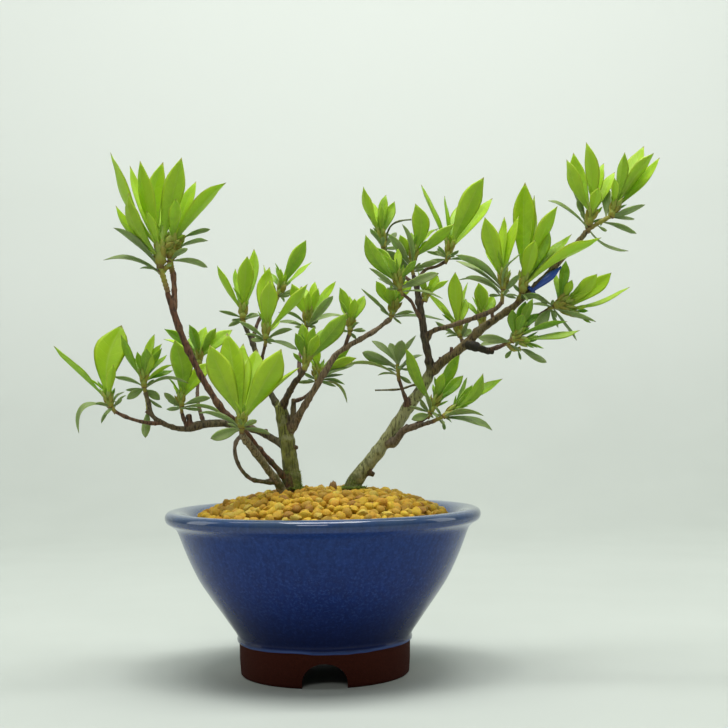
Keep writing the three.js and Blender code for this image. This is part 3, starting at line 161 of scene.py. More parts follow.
# Distance along a blade and its width there, both as shares.
NEW_BLADE = [
    (0, 0.10), (0.08, 0.14), (0.18, 0.28), (0.28, 0.48), (0.38, 0.68), (0.48, 0.85), (0.57, 0.96),
    (0.64, 1.0), (0.72, 0.96), (0.8, 0.79), (0.87, 0.55), (0.92, 0.34), (0.96, 0.17), (1.0, 0.012),
]
OLD_BLADE = [
    (0, 0.13), (0.08, 0.16), (0.18, 0.34), (0.30, 0.62), (0.44, 0.88), (0.58, 1.0), (0.72, 0.96),
    (0.84, 0.76), (0.92, 0.49), (0.97, 0.24), (1.0, 0.03),
]
SCALE_BLADE = [
    (0, 0.75), (0.25, 0.96), (0.42, 1.0), (0.62, 0.84), (0.8, 0.5), (0.92, 0.2), (1.0, 0.02),
]

# ---------------------------------------------------------------- the tree's layout

# Each branch is a list of (across, up, depth, diameter); depth grows away from the front.
BRANCHES = {
    "left_trunk": [
        (-12.5, 62, 0, 8.2), (-12.4, 73, 0, 6.7), (-13.8, 84, 0.5, 6.1), (-15.4, 94, 1.2, 5.8),
        (-16.4, 100, 1.7, 5.2), (-17.8, 105, 2, 4.2),
    ],
    "left_fork": [
        (-18, 103.5, 2, 2.6), (-21, 109, 3, 2.4), (-23.2, 114, 4, 2.2), (-26.3, 122.5, 6, 2),
        (-28.7, 130, 7.5, 1.9), (-31, 135, 8.6, 1.6), (-32.3, 138.2, 9, 1.5),
    ],
    "center_top_twig": [(-28.9, 131, 7.5, 1.5), (-25.8, 140, 11, 1.3), (-19.2, 147.6, 12, 1.2)],
    "mid_left_twig": [
        (-26, 121.5, 6, 1.4), (-25, 124, 1, 1.3), (-24, 128, -6.5, 1.2), (-23.7, 129.6, -8, 1.2),
    ],
    "right_fork": [
        (-17, 103.5, 2, 3), (-15.4, 107.5, 0, 2.6), (-12.5, 113, -5, 2.3), (-9.3, 117.2, -9, 2.1),
        (-8, 119.6, -10, 2),
    ],
    "center_twig": [
        (-9.6, 116.8, -8.6, 1.8), (-10, 123, -2, 1.5), (-8.6, 130, 3.5, 1.4), (-7.3, 135, 5, 1.4),
    ],
    "lower_stem": [
        (-14, 94.5, 1, 4), (-11.3, 98.8, -1, 3.2), (-9, 103, -3, 2.5), (-3, 113, -4, 2.4),
        (3.7, 123.9, -4, 2.2), (7.9, 127.8, -3, 2), (18.6, 133.9, -1, 1.8), (25, 138.6, 1.6, 1.6),
        (26.3, 139.7, 2, 1.5),
    ],
    "lower_stem_spur": [(-12.6, 97.5, 0, 2.2), (-12.4, 103, -0.6, 1.9), (-12.2, 107.8, -0.8, 1.6)],
    "low_center_twig": [
        (-12.3, 106.6, -0.7, 1.4), (-8.5, 108, 0.6, 1.3), (-5.3, 110.6, 1, 1.2),
        (-3.2, 113.4, 1, 1.2),
    ],
    "center_right_twig": [(7.9, 127.8, -3, 1.6), (8.7, 130, -3, 1.5), (10, 133.6, -3, 1.3)],
    "left_bough": [
        (-15.5, 89.5, 1, 3.6), (-19, 90.9, 3, 2.7), (-23.5, 93.4, 5, 2.5), (-29.5, 95.9, 6, 2.3),
        (-39, 97.9, 6, 2.7), (-48, 97.5, 5.4, 3), (-52.6, 96.3, 4.6, 3.3), (-54.6, 95.7, 4.2, 2.1),
        (-59, 95.9, 3, 1.8), (-65.5, 98.4, -1, 1.9), (-69, 101.4, -2.5, 1.8),
        (-70.2, 106, -3.4, 1.6), (-71.6, 110.2, -4, 1.5),
    ],
    "left_bough_knob": [(-23.5, 93.4, 5, 2.2), (-23.2, 95.6, 5, 1.4)],
    "left_bough_spur": [(-53.5, 97.2, 4.4, 2.2), (-54.2, 101.4, 4, 1.8)],
    "left_tier_spur": [(-68.6, 101, -2.4, 1.6), (-71.2, 103, -3, 1.3)],
    "far_left_twig": [
        (-64.5, 98, -0.4, 1.8), (-70, 98, -4, 1.5), (-76, 99.3, -8, 1.4), (-81, 101.2, -11, 1.4),
        (-83.8, 102.8, -12, 1.4),
    ],
    "low_left_twig": [(-55, 96.6, 4, 1.6), (-56.6, 101, 2.6, 1.3), (-56.9, 102.8, 2, 1.3)],
    "behind_stem_twig": [
        (-48, 97.4, 5.4, 1.8), (-50.6, 107, 12, 1.4), (-50.4, 116, 18, 1.2), (-50, 121.7, 20, 1.2),
    ],
    "grey_stem": [
        (-14.2, 62, -2, 4.6), (-17, 71.5, -5, 3.4), (-22, 79, -9, 3), (-28, 87, -15, 2.8),
        (-32, 92.2, -22, 2.4), (-33, 93.9, -24, 2),
    ],
    "long_stem": [
        (-13.5, 62, -1, 3.2), (-15.8, 75.5, -3, 2.1), (-25, 86.5, -5, 2), (-31.8, 94.5, -7, 2.1),
        (-36.2, 99.3, -8, 2.2), (-40, 102.5, -8, 2.3), (-44, 108, -8, 2.4), (-48.3, 115, -8, 2.3),
        (-52, 122, -8, 2.3), (-56, 130.5, -8, 2.3), (-59.3, 139, -8, 2.5), (-62.3, 147.8, -8, 2),
        (-63.1, 150.8, -8, 1.9),
    ],
    "crown_twig": [(-60.2, 141.6, -8, 2.1), (-60.2, 150, -6.6, 2.1), (-60.8, 158.7, -5.3, 1.9)],
    "loop_twig": [
        (-19.5, 74.6, -7, 2), (-25, 74.7, -11, 1.6), (-29.6, 76, -14, 1.4), (-33.4, 80, -17.5, 1.3),
        (-35.6, 86, -20, 1.5), (-35.1, 90.6, -21.5, 1.4), (-32.8, 93.2, -23, 1.4),
    ],
    "right_trunk": [
        (11.5, 62, 0, 7.8), (11.5, 72.6, 0, 6.3), (14.3, 77.5, -0.5, 5.5), (22, 87.3, -1, 5),
        (29.6, 98.3, -2, 4.7), (34.4, 105.6, -3, 4.7), (39, 111.6, -4, 4.2), (42.6, 118.6, -5, 3.6),
    ],
    "upright": [
        (42.4, 117, -5, 3.2), (41.8, 124, -6, 2.8), (40.4, 131, -7, 2.7), (39, 141, -8, 2.6),
        (37.9, 147.3, -8, 2.4), (36.9, 154, -7, 2), (35.9, 156.9, -5.2, 1.6),
    ],
    "top_twig": [
        (36.9, 153.4, -7, 1.6), (32, 157, 0, 1.3), (27.5, 162.5, 2, 1.2), (24, 166.6, 2, 1.2),
    ],
    "upper_twig": [
        (39.1, 139, -8, 1.7), (36.7, 143, -10, 1.4), (34.8, 146.8, -11, 1.3),
        (31.4, 149.8, -12, 1.3),
    ],
    "crest_twig": [
        (36.8, 154.6, -6.6, 1.5), (40.5, 159.4, -4, 1.3), (45, 160.8, -3, 1.2),
        (48.6, 162.8, -2, 1.2),
    ],
    "upright_spur": [(38.2, 146, -8, 1.6), (40.2, 147.5, -9, 1.3)],
    "right_bough": [
        (42, 117.6, -5, 3.6), (47.5, 122.6, -5.5, 3.5), (52.5, 126.2, -6, 3.5),
        (58, 130.8, -7, 3.4), (63, 135.7, -8, 3), (72.5, 142.3, -8, 2.5), (77.5, 146, -8, 2.3),
        (84, 152.3, -7.5, 2.1), (90, 158.2, -7, 2), (97, 165.3, -6, 1.9), (103, 172, -5, 1.9),
        (105.2, 174.8, -4.5, 1.9),
    ],
    "right_bough_shoot": [(56.5, 129.8, -6.8, 1.8), (55.2, 131, -4, 1.4)],
    "behind_bough_shoot": [(62.6, 135.4, -7.9, 1.8), (63, 137.2, -2.5, 1.4)],
    "second_bough_spur": [(67.2, 142.8, -15.8, 1.6), (67.4, 140.4, -15.2, 1.2)],
    "bough_fork": [(77.3, 145.8, -8, 1.9), (77.8, 147.6, -9, 1.6)],
    "second_bough": [
        (41, 131.5, -7, 2), (43.3, 134.8, -9, 1.9), (50.5, 136.9, -12, 1.8), (61, 140.4, -15, 1.7),
        (68.5, 143.6, -16, 1.6), (71.2, 146.4, -16, 1.6),
    ],
    "rough_spur": [
        (57, 129.6, -7, 3.6), (60.5, 128.6, -9, 3.3), (64, 127.4, -11, 2.6),
        (67.8, 126.2, -12, 1.3),
    ],
    "lower_right_twig": [
        (65.5, 127.4, -11.5, 1.8), (69.5, 128, -12.8, 1.2), (72.2, 129.3, -14, 1.2),
    ],
    "far_right_twig": [
        (67, 127.7, -12, 1.6), (72, 129.6, -8, 1.3), (78, 134, -5.5, 1.3), (84.5, 139.8, -6.5, 1.4),
        (89.7, 143.3, -8, 1.5),
    ],
    "right_side_bough": [
        (24.5, 89.5, -1.5, 3.8), (28.2, 90.6, -4, 3), (31.7, 95, -7, 2.8), (35, 96.3, -9, 2.1),
        (40, 97.6, -12, 1.7), (44.1, 98.9, -15, 1.5),
    ],
    "right_side_twig": [(34.4, 96, -8.6, 1.6), (39, 98.9, -10.5, 1.4), (41.5, 100.6, -12, 1.3)],
    "right_side_knob": [(32, 95, -7.2, 2), (33.4, 97.3, -7.4, 1.5)],
    "inner_twig": [
        (34, 104.6, -3.5, 2), (32.9, 106.8, -5, 1.5), (31.3, 111, -6, 1.3), (29.9, 115.6, -6, 1.2),
    ],
    "dry_shoot": [
        (39.5, 112.6, -3.5, 1.2), (36, 113.2, 1.5, 0.9), (30, 111.5, 4, 0.8), (20.3, 111.1, 3, 0.6),
    ],
    "curled_shoot": [
        (25.1, 165.2, 2.1, 0.9), (24.8, 170, 4.6, 0.7), (25.6, 175.2, 3.4, 0.7),
        (27.6, 178, 1, 0.7), (30.8, 179.3, 0, 0.7), (35, 179.8, 0, 0.6),
    ],
    "left_trunk_nub": [(-12.6, 88.5, 0, 2), (-10.6, 88.2, -1, 1.2)],
    "right_trunk_nub": [(30.6, 99.6, -2, 2), (28.6, 100.4, -2.6, 1.4)],
    "right_trunk_heel": [(17, 78.6, -0.6, 2.4), (19.9, 77.4, -1.6, 1.3)],
    "right_trunk_spur": [(37, 109, -4, 1.6), (36, 111, -4.4, 1)],
    "bough_nub": [(46.2, 121.6, -5.4, 1.6), (46.4, 124.4, -6, 1)],
    "bough_spur": [(50.6, 125, -6, 1.6), (51, 128.4, -6.6, 1)],
}

# Each shoot is (depth, stalks, axes, new leaves, old leaves): stalks carry its old leaves, and
# axes are its growing tips, which carry the new ones. A leaf is (root, across, up, depth, seen
# width, bow, sway), where root 1.4 is 40% along the second stalk or axis. Bow and sway say how far
# its middle stands off the chord, towards its upper face and to the right, as shares of its length.
SHOOTS = {
    "crown_left": (
        -8, [[(-63.2, 151.6, 0), (-66, 160.8, 0)], [(-61.2, 159.2, 2.6), (-62.2, 164.6, 3)],
             [(-65.5, 159, 0.4), (-61.6, 161.8, 2.7)],
             [(-61.9, 163.2, 3.2), (-59, 167.5, 6.8), (-56.6, 173.6, 6.8)]],
        [[(-66, 161.4, 0), (-65.3, 177, 0)], [(-62.1, 165.2, 3), (-60, 176, 3)],
         [(-65.7, 168, 0), (-61.2, 171, 3)]],
        [(0.8, -85.8, 207.5, -4, 5.4, -0.04, -0.05), (0.6, -78.8, 201, 6.4, 5, -0.03),
         (0.95, -74.8, 203.5, -4, 6.6, -0.02, -0.02), (0.98, -65, 203.3, 4, 6.6, 0.02, -0.12),
         (0.97, -57.8, 205, -4, 8.2, 0.02), (1.8, -51.7, 195.3, 6, 6.4, 0.04),
         (1.6, -40.3, 195.3, -3, 5, 0.07), (1.9, -59.5, 188.5, -10, 4.6, 0),
         (0.3, -80, 190, -8, 6, 0, -0.1), (0.2, -84.5, 185, 4, 4, 0, -0.06),
         (0.4, -71.5, 183.5, -8, 3.6, 0), (0.5, -70, 192, 12, 6, 0.04),
         (1.5, -57, 190, 13, 6, 0.04)],
        [(0.8, -84.8, 176.5, -3, 3, 0.07), (0.6, -88.8, 163.6, 3, 2.2, 0.12),
         (3.9, -46, 175.8, 3, 1.6, 0.03), (3.6, -46.8, 171.7, -4, 1.2, 0.02),
         (1.8, -55.3, 168, -7, 1.8, 0.02), (1.7, -47, 160.2, 1, 2.2, 0.12)],
    ),
    "far_left": (
        -12, [[(-84, 103, 0), (-85.4, 104.8, 0)]],
        [[(-85.7, 105.3, 0), (-87, 110.5, 0)]],
        [(0.5, -109.2, 128.2, -4, 3.4, 0), (0.95, -80.5, 137, 7, 12.6, 0.05, -0.1),
         (0.8, -88, 127, 13, 6, 0.05), (0.7, -84.5, 121, -9, 3, 0.02)],
        [(0.6, -98, 94, -2, 2.4, 0.52), (0.4, -79.8, 110.2, 4, 1.2, 0.22),
         (0.9, -91.5, 106, -6, 1.5, 0.02)],
    ),
    "left_tier": (
        -4, [[(-71.7, 110.6, 0), (-72, 112.8, 0)],
             [(-71.9, 111.6, 0.6), (-70.8, 107, 3.4), (-70.4, 103.4, 3.6)]],
        [[(-72.1, 113.3, 0), (-72.4, 119, 0)]],
        [(0.7, -81, 133.5, -13, 3.8, 0, -0.08), (0.9, -75, 126.5, -5, 3, 0.02),
         (0.8, -71, 128, -9, 4.6, 0.02), (0.8, -65.5, 130, 2, 3.6, 0.02),
         (0.2, -60.6, 121.6, -3, 1.8, 0.05), (0.9, -69, 125.4, -7, 4.4, 0),
         (0.9, -68, 133.8, 4, 3.8, 0.03), (0.6, -64.8, 128, -1, 2.4, 0.04),
         (0.5, -62.6, 125, 5, 2.2, 0.05), (0.3, -60.4, 118.6, 2, 2.2, 0.07),
         (0.6, -74.5, 124, 11, 4, 0.03)],
        [(0.8, -84.3, 116, -2, 1.6, 0.08), (0.6, -79, 107.6, -3, 3.2, 0.1),
         (0.5, -54.2, 113.4, 1, 1.6, 0.2), (1.95, -71.8, 92.2, 1, 3.6, 0.03),
         (0.4, -65.6, 107.4, 4, 3.4, 0.06)],
    ),
    "low_left": (
        2, [[(-57, 103.1, 0), (-57.1, 105.1, 0)]],
        [[(-57.1, 105.6, 0), (-57.3, 110, 0)]],
        [(0.8, -60.5, 131, -4, 9.2, 0.04, 0.08), (0.6, -46, 122.5, 4, 6, 0.07),
         (0.7, -55, 125, 12, 6, 0.05)],
        [(0.9, -45.6, 108.2, -3, 2.6, 0.08), (0.5, -41, 101.6, 2, 1.9, 0.12),
         (0.6, -64, 109.8, -7, 2.6, 0.06), (0.4, -63, 103.4, 4, 1.8, 0.06)],
    ),
    "behind_stem": (
        20, [],
        [[(-50, 122.2, 0), (-50.2, 127, 0)]],
        [(0.5, -64.2, 135.7, -4, 4, 0.1), (0.8, -53.8, 137.6, -6, 4.4, 0.03),
         (0.9, -47.8, 136.6, 5, 4.4, 0.03), (0.9, -43.6, 136, -5, 4, 0.04),
         (0.5, -37, 135.4, 3, 6.2, 0.06), (0.7, -54, 132, 10, 5, 0.05),
         (0.2, -64.4, 131.8, 4, 1.4, 0.06)],
        [],
    ),
    "front_left": (
        -24, [[(-33, 94.9, 0), (-33, 96.4, 0)]],
        [[(-33, 96.9, 0), (-32.7, 102, 0)]],
        [(0.9, -46.5, 129, -4, 10.4, 0.03), (0.95, -38.9, 134, 4, 10, 0.03),
         (0.8, -16.6, 127.2, -3, 11, 0.04), (0.5, -9.6, 120.4, 5, 2.6, 0.03),
         (0.9, -33.4, 129.8, 10, 7, 0.02), (0.9, -26.6, 127.2, 12, 9.4, 0.03)],
        [(0.8, -45.3, 91.6, -3, 4.4, 0.08), (0.8, -27, 99, -8, 2.2, 0.05),
         (0.6, -21.4, 93.6, 1, 2.2, 0.07), (0.7, -50, 102.6, -1, 2, 0.06),
         (0.7, -45, 102.4, 6, 2, 0.03)],
    ),
    "upper_left": (
        9, [[(-32.4, 138.5, 0), (-32.6, 140.2, 0)]],
        [[(-32.6, 140.7, 0), (-32.5, 145.5, 0)]],
        [(0.6, -43.5, 161, -3, 3, 0, -0.03), (0.9, -31.2, 165, -6, 6.8, 0.03),
         (0.98, -28.2, 168, 4, 5.4, 0.03, 0.08), (0.8, -36.1, 160.2, 7, 2.6, -0.06)],
        [(0.9, -42.4, 142.8, -2, 1.6, 0.03), (0.4, -38.6, 136.8, 3, 1.8, 0.07),
         (0.5, -26.7, 141.6, 7, 1.6, 0.1)],
    ),
    "mid_left": (
        -8, [[(-23.6, 129.9, 0), (-23.4, 131.8, 0)]],
        [[(-23.4, 132.4, 0), (-22.9, 137.5, 0)]],
        [(0.95, -22, 155, -6, 7.4, 0.02), (0.95, -22.6, 160.3, 4, 7, 0.02, -0.04),
         (0.7, -6.5, 153.5, -2, 3.6, -0.02), (0.7, -24.4, 161.9, 9, 1.8, 0.02)],
        [(0.7, -12.8, 135.6, 0, 1.8, 0.1), (0.4, -10.8, 126.8, -3, 1.8, 0.1),
         (0.8, -34.4, 138.6, -3, 1.6, 0.04), (0.5, -29.2, 131.4, 4, 1.8, 0.05)],
    ),
    "center_top": (
        12, [[(-19, 148, 0), (-18.4, 149.6, 0)]],
        [[(-18.2, 150.1, 0), (-16.6, 154.4, 0)]],
        [(0.9, -7.3, 171.5, -3, 6, 0.03), (0.6, -5.3, 162.7, 4, 2.4, -0.02),
         (0.9, -17.8, 160, -5, 2.4, 0.02), (0.8, -21.4, 158, 4, 2.4, 0.02),
         (0.8, -11.5, 163.5, 10, 4, 0)],
        [(0.6, -23.4, 156.4, -3, 2.2, 0.04), (0.5, -10, 151.4, -2, 2.4, 0.06)],
    ),
    "center": (
        5, [[(-7.2, 135.4, 0), (-7, 137.2, 0)]],
        [[(-6.9, 137.8, 0), (-6, 143.5, 0)]],
        [(0.6, -13.3, 153.8, -3, 5.4, 0.05), (0.98, -3.9, 155, 5, 3.4, 0.03),
         (0.8, -6.4, 150.5, -6, 3.2, 0), (0.9, -2.4, 152, -4, 3.6, 0.03),
         (0.8, 4.5, 154.8, 3, 3.6, -0.02), (0.8, -9, 153, 10, 5, 0.04)],
        [(0.8, -18.5, 142.4, -2, 1.6, 0.16), (0.4, -18.5, 138.4, 5, 1.6, 0.07),
         (0.5, 8.5, 140.6, 3, 2.2, 0.15), (0.6, 3.3, 149, -12, 3, -0.02)],
    ),
    "center_front": (
        -10, [],
        [[(-7.8, 120.1, 0), (-6.3, 126, 0)]],
        [(0.7, 9.3, 142, -3, 7.4, 0.03), (0.95, 0.3, 136.2, 5, 3.2, 0.03),
         (0.95, -8.8, 138.2, 2, 4.6, 0.02), (0.98, -4.3, 136.6, -4, 4, 0.02),
         (0.9, -2.4, 133, -9, 4.6, 0), (0.7, -11.3, 134.2, -3, 4, 0.05),
         (0.2, -12.6, 126, -3, 1.8, 0.05)],
        [],
    ),
    "center_right": (
        -3, [[(10.1, 133.9, 0), (10.3, 135.4, 0)]],
        [[(10.4, 135.9, 0), (10.7, 140, 0)]],
        [(0.8, 6.6, 152.5, -2, 4.2, 0.04), (0.8, 16.3, 149, 2, 4.4, 0.05),
         (0.95, 10, 148.6, 5, 3.6, 0.02), (0.95, 12.2, 147.9, -5, 3.6, 0.02)],
        [(0.8, 16.6, 135, -1, 1.4, 0.12), (0.3, 13, 131.6, 4, 1.4, 0.06)],
    ),
    "low_center": (
        1, [[(-3.1, 113.8, 0), (-2.9, 115.6, 0)]],
        [[(-2.9, 116.1, 0), (-3, 120.4, 0.6)]],
        [(0.9, 10.3, 127.6, 3, 4, 0.03), (0.8, 12.8, 124.4, 1, 4, 0.04),
         (0.95, -3.2, 129, 3, 3.4, 0.02)],
        [(0.65, 12.6, 121.8, 5, 2.8, 0.08), (0.8, 7.6, 117.2, 3, 1.4, 0.04),
         (0.5, 8.1, 113.2, 4, 1.6, 0.13), (0.2, 9, 105.8, 2, 1.2, 0.28),
         (0.7, -8.4, 118, 1, 1.4, 0.06)],
    ),
    "right_of_center": (
        2, [[(26.5, 139.9, 0), (27.1, 141.4, 0)]],
        [[(27.2, 141.9, 0), (28.6, 147, 0)]],
        [(0.7, 20.8, 155, -3, 4.4, 0.06), (0.95, 25.6, 152.4, -4, 5, 0.03),
         (0.8, 35, 156, 4, 4.4, 0.05), (0.95, 30.8, 154, 4, 4, 0.03)],
        [(0.6, 14.8, 151.8, -2, 1.3, -0.02), (0.5, 36, 142.6, -3, 1.6, 0.04),
         (0.2, 47.8, 139, 3, 2, 0.06)],
    ),
    "upper_right_of_center": (
        -12, [[(31.1, 150.1, 0), (30.3, 151.8, 0)]],
        [[(30.1, 152.4, 0), (28.8, 160, 0)]],
        [(0.4, 16.3, 173.5, -4, 6, 0.02, -0.08), (0.7, 21.3, 168.5, 4, 5, 0.04),
         (0.98, 26.2, 164, -6, 3.4, 0.02), (0.98, 29.6, 168, 4, 3.4, 0.02),
         (0.6, 37, 163.5, -4, 3, 0.06)],
        [(0.95, 45.8, 158.4, -3, 4, 0.06), (0.5, 18.2, 160.3, -4, 1.8, -0.02),
         (0.4, 21.5, 156, 3, 1.6, 0.04), (0.3, 47.4, 147.6, -1, 1.5, 0.1)],
    ),
    "top": (
        2, [[(23.9, 166.9, 0), (23.7, 168.8, 0)]],
        [[(23.6, 169.4, 0), (22.3, 177.5, 0)]],
        [(0.9, 15.2, 193, -4, 3.6, 0, -0.06), (0.98, 24.4, 190, 3, 3.8, 0.03),
         (0.9, 18.7, 187.6, 6, 3.4, 0), (0.8, 28, 187, 4, 4.4, 0.02),
         (0.98, 23.2, 185.5, -5, 2.4, 0)],
        [(0.6, 18.2, 175.8, -8, 1.5, 0.04), (0.7, 29, 174.5, 6, 2.6, 0.05)],
    ),
    "upper_crest": (
        -4, [[(35.7, 157.5, -1), (35, 161, 0)]],
        [[(35, 161.6, 0), (36, 169.5, 0)]],
        [(0.95, 37.2, 186.2, -5, 7.4, 0.02, 0.12), (0.4, 30.2, 173.5, -4, 4.2, 0.05),
         (0.9, 35, 174.4, 6, 3.4, 0), (0.6, 43.4, 171.6, 4, 3.2, 0.05),
         (0.5, 52.3, 178, -4, 4.2, -0.02), (0.9, 46, 176.6, 8, 2.8, 0.07)],
        [(0.6, 25.6, 174.2, -5, 3.4, 0.04), (0.7, 24.2, 167, -4, 4, 0.07),
         (0.68, 31.2, 178.2, -15, 1.4, 0.07), (0.5, 45.5, 162.6, -5, 2.2, 0.1)],
    ),
    "crest": (
        -2, [[(48.9, 163.1, 0), (49.6, 164.6, 0)]],
        [[(49.8, 165.1, 0), (50.4, 171, 0)]],
        [(0.9, 63.5, 197.3, -4, 8.8, 0.03), (0.7, 67.7, 188.8, 4, 4, -0.03),
         (0.9, 38.4, 193.8, 3, 3, 0), (0.98, 47.8, 189.3, 6, 2.4, 0.02),
         (0.9, 56, 187, 11, 5, 0.04)],
        [(0.7, 45.6, 169, -3, 1.2, 0.03), (0.6, 44.4, 167, 2, 1.6, 0.06),
         (0.8, 54, 167, -5, 1.4, 0.02), (0.4, 39.8, 161, -3, 2.2, 0.1)],
    ),
    "inner_right": (
        -6, [[(29.8, 116, 0), (29.3, 121.6, 0)]],
        [],
        [],
        [(0.8, 15.2, 126.4, -3, 4.4, 0.12), (0.95, 19, 131, 3, 2.6, 0.1),
         (0.9, 31, 131, -6, 5, 0.03), (0.95, 26.4, 130, 4, 3.6, 0.03), (0.8, 37, 133, 3, 1.8, 0.06),
         (0.5, 20.2, 124.2, 5, 1.8, 0.06), (0.1, 8.5, 121.2, -2, 1.3, 0.12),
         (0.4, 39.6, 125.4, 13, 1.6, 0.06), (0.2, 34.8, 113.8, 2, 1.8, 0.12)],
    ),
    "right_side_a": (
        -12, [[(41.8, 100.9, 0), (42.6, 102.4, 0)]],
        [[(42.8, 102.9, 0), (46, 109, 0)]],
        [(0.7, 33.2, 128.4, -3, 5, 0, -0.08), (0.95, 54, 125.6, 4, 4.6, -0.04),
         (0.98, 47.5, 118, -6, 4, 0.04), (0.8, 55.6, 117, 5, 4.4, 0.06)],
        [(0.7, 40.6, 109.8, -10, 1.8, 0.04), (0.6, 38.4, 106.4, 3, 1.8, 0.14),
         (0.3, 34.8, 99.6, -4, 3.4, 0.12)],
    ),
    "right_side_b": (
        -16, [[(44.6, 99.2, 0.6), (48, 100.8, 0)]],
        [[(48.5, 101.1, 0), (53.6, 104.4, 0)]],
        [(0.95, 63.6, 117.8, -3, 4.2, 0.02, 0.12), (0.98, 71.3, 115.7, 2, 3, 0),
         (0.7, 59.4, 113, 5, 3.4, 0.05), (0.9, 56.6, 116, 10, 2, 0.02)],
        [(0.5, 63.8, 100.8, -14, 2.8, 0.1), (0.5, 67.3, 95.8, -2, 2.2, 0.07)],
    ),
    "bough_center": (
        -3, [[(55, 131.3, 0), (54.4, 133, 0)]],
        [[(54.2, 133.6, 0), (52.8, 139, 0)]],
        [(0.95, 52.2, 158.6, -2, 6.2, 0.02), (0.8, 56.8, 148, 4, 4.2, 0.05),
         (0.8, 41, 150.2, 2, 3.2, 0.03), (0.9, 57.8, 154.4, 7, 2, 0.03)],
        [(0.6, 44.3, 138.3, -2, 1.4, -0.02), (0.6, 59, 135.4, 4, 2.4, 0.06),
         (0.7, 57.8, 138.6, -5, 1.5, 0.02)],
    ),
    "behind_bough": (
        -1, [],
        [[(63, 137.6, 0), (63.3, 142.4, 0)]],
        [(0.9, 61.9, 154.3, -2, 5.8, 0.02, 0.05), (0.7, 67.9, 149, 4, 5, 0.03),
         (0.6, 55.7, 147.2, 4, 2.4, 0.03)],
        [],
    ),
    "bough_tip_a": (
        -16, [[(71.3, 147, 0), (71.7, 152, 0)]],
        [[(71.8, 152.6, 0), (72.3, 160, 0)]],
        [(0.7, 64.4, 180.7, -4, 7.6, 0.03), (0.9, 78, 181, 3, 4.2, 0.03),
         (0.95, 73, 180.4, 8, 2.6, 0.03), (0.3, 64, 168, 4, 3.2, 0.05)],
        [(0.85, 52.6, 164.8, -2, 2.2, 0.14), (0.8, 52.8, 163, 4, 1.8, 0.05),
         (0.5, 56.8, 156.4, -3, 1.9, 0.12), (0.2, 54, 155.6, 3, 1.3, 0.16),
         (0.6, 78.2, 157.4, -3, 2.6, 0.06), (0.8, 79.2, 165.4, -13, 1.6, 0.16)],
    ),
    "bough_tip_b": (
        -10, [[(78, 147.9, 0.8), (79.2, 150.4, 0)]],
        [[(79.4, 151, 0), (81.2, 159.4, 0)]],
        [(0.98, 80.4, 194.8, 2, 9.4, -0.03), (0.98, 83.6, 190, 9, 4.4, 0.02),
         (0.9, 93.8, 185.2, -3, 5.2, 0.04), (0.7, 90.6, 176.2, 2, 6.6, 0.03),
         (0.8, 87.2, 174.4, 8, 4, 0.03), (0.3, 99.8, 173, 3, 3, 0.03),
         (0.2, 112, 171.4, -8, 4.6, 0.03, -0.04), (0.15, 84.4, 171.6, -7, 6.4, 0.02),
         (0.5, 94.1, 169, 5, 3.4, 0.05)],
        [(0.4, 86.8, 149, -5, 2.4, 0.1), (0.5, 88.6, 147.4, 1, 1.8, 0.1)],
    ),
    "lower_right": (
        -14, [[(73.1, 129.8, 0), (75.3, 130.8, 0)],
              [(73.1, 129.8, 0), (75.6, 127.4, 0), (78.6, 127.9, 0)]],
        [[(75.7, 131.4, 0), (78.8, 135.6, 0)], [(75.9, 131.4, 0), (81.6, 130.6, 0)]],
        [(0.5, 81, 146.8, 3, 5.4, 0.03), (0.95, 83.8, 148, -2, 4, 0.04),
         (0.2, 75.4, 143.6, -2, 4.4, 0.04), (0.95, 79.6, 141.6, -6, 4.2, 0),
         (0.9, 97.3, 138.9, -2, 2.6, 0), (1.95, 102.5, 134.6, -2, 3.4, -0.02),
         (0.9, 86, 142, 6, 3, 0.05)],
        [(0.7, 61.5, 132.2, -2, 3.8, 0.14), (0.5, 62.4, 129.2, -4, 2, 0.06),
         (1.5, 72.4, 124, 3, 1.8, 0.03), (1.95, 89, 122.2, -3, 2.6, 0.18),
         (1.7, 85.8, 124, 5, 1.4, 0.08)],
    ),
    "far_right": (
        -8, [[(90, 143.5, 0), (92.2, 144.8, 0)]],
        [[(92.7, 145.2, 0), (98.8, 148.2, 0)], [(92.8, 145, 0), (102.2, 142.2, 0)]],
        [(0.95, 99.6, 155.4, -2, 3.6, 0.02), (0.5, 97, 163.3, 4, 4.4, 0.03),
         (0.3, 92.6, 157.6, 8, 3.2, 0.03), (0.9, 104, 153.6, 5, 1.8, 0.02),
         (1.95, 109.6, 157.8, -4, 6, 0.03), (1.98, 115.5, 157.9, 3, 6, 0.05),
         (1.9, 122.4, 153.3, -2, 2.6, 0.07)],
        [(0.9, 80.8, 149.6, 5, 1.6, 0.06), (0.7, 83.4, 145.6, -4, 1.4, 0.05),
         (0.6, 109, 138.6, -5, 1.8, -0.02), (0.7, 101.3, 131.2, 2, 2, -0.02),
         (0.4, 84.4, 135.4, -4, 4.6, 0.08)],
    ),
    "crown_right_a": (
        -4, [],
        [[(106.8, 178.2, 0), (108.6, 187, 0)]],
        [(0.8, 98, 204.4, -2, 5, -0.04, -0.04), (0.9, 99.8, 206.9, 5, 6, -0.05),
         (0.98, 105.5, 211.3, -4, 5, 0.02, 0.03), (0.95, 112, 202.9, 3, 4.6, 0.03),
         (0.7, 110.4, 192.4, -8, 5, 0), (0.6, 116.7, 199.5, 6, 3.4, -0.02)],
        [],
    ),
    "crown_right_b": (
        -4, [[(105.5, 175.1, 0), (108.5, 177.3, 0), (115.2, 181.2, 0)],
             [(105.9, 175.6, 0.5), (104.8, 181.5, 4.5)]],
        [[(115.7, 181.7, 0), (118.3, 187.5, 0)]],
        [(0.98, 120.8, 207.1, -3, 3.8, 0.02), (0.9, 129.4, 209.2, 5, 5, 0.04),
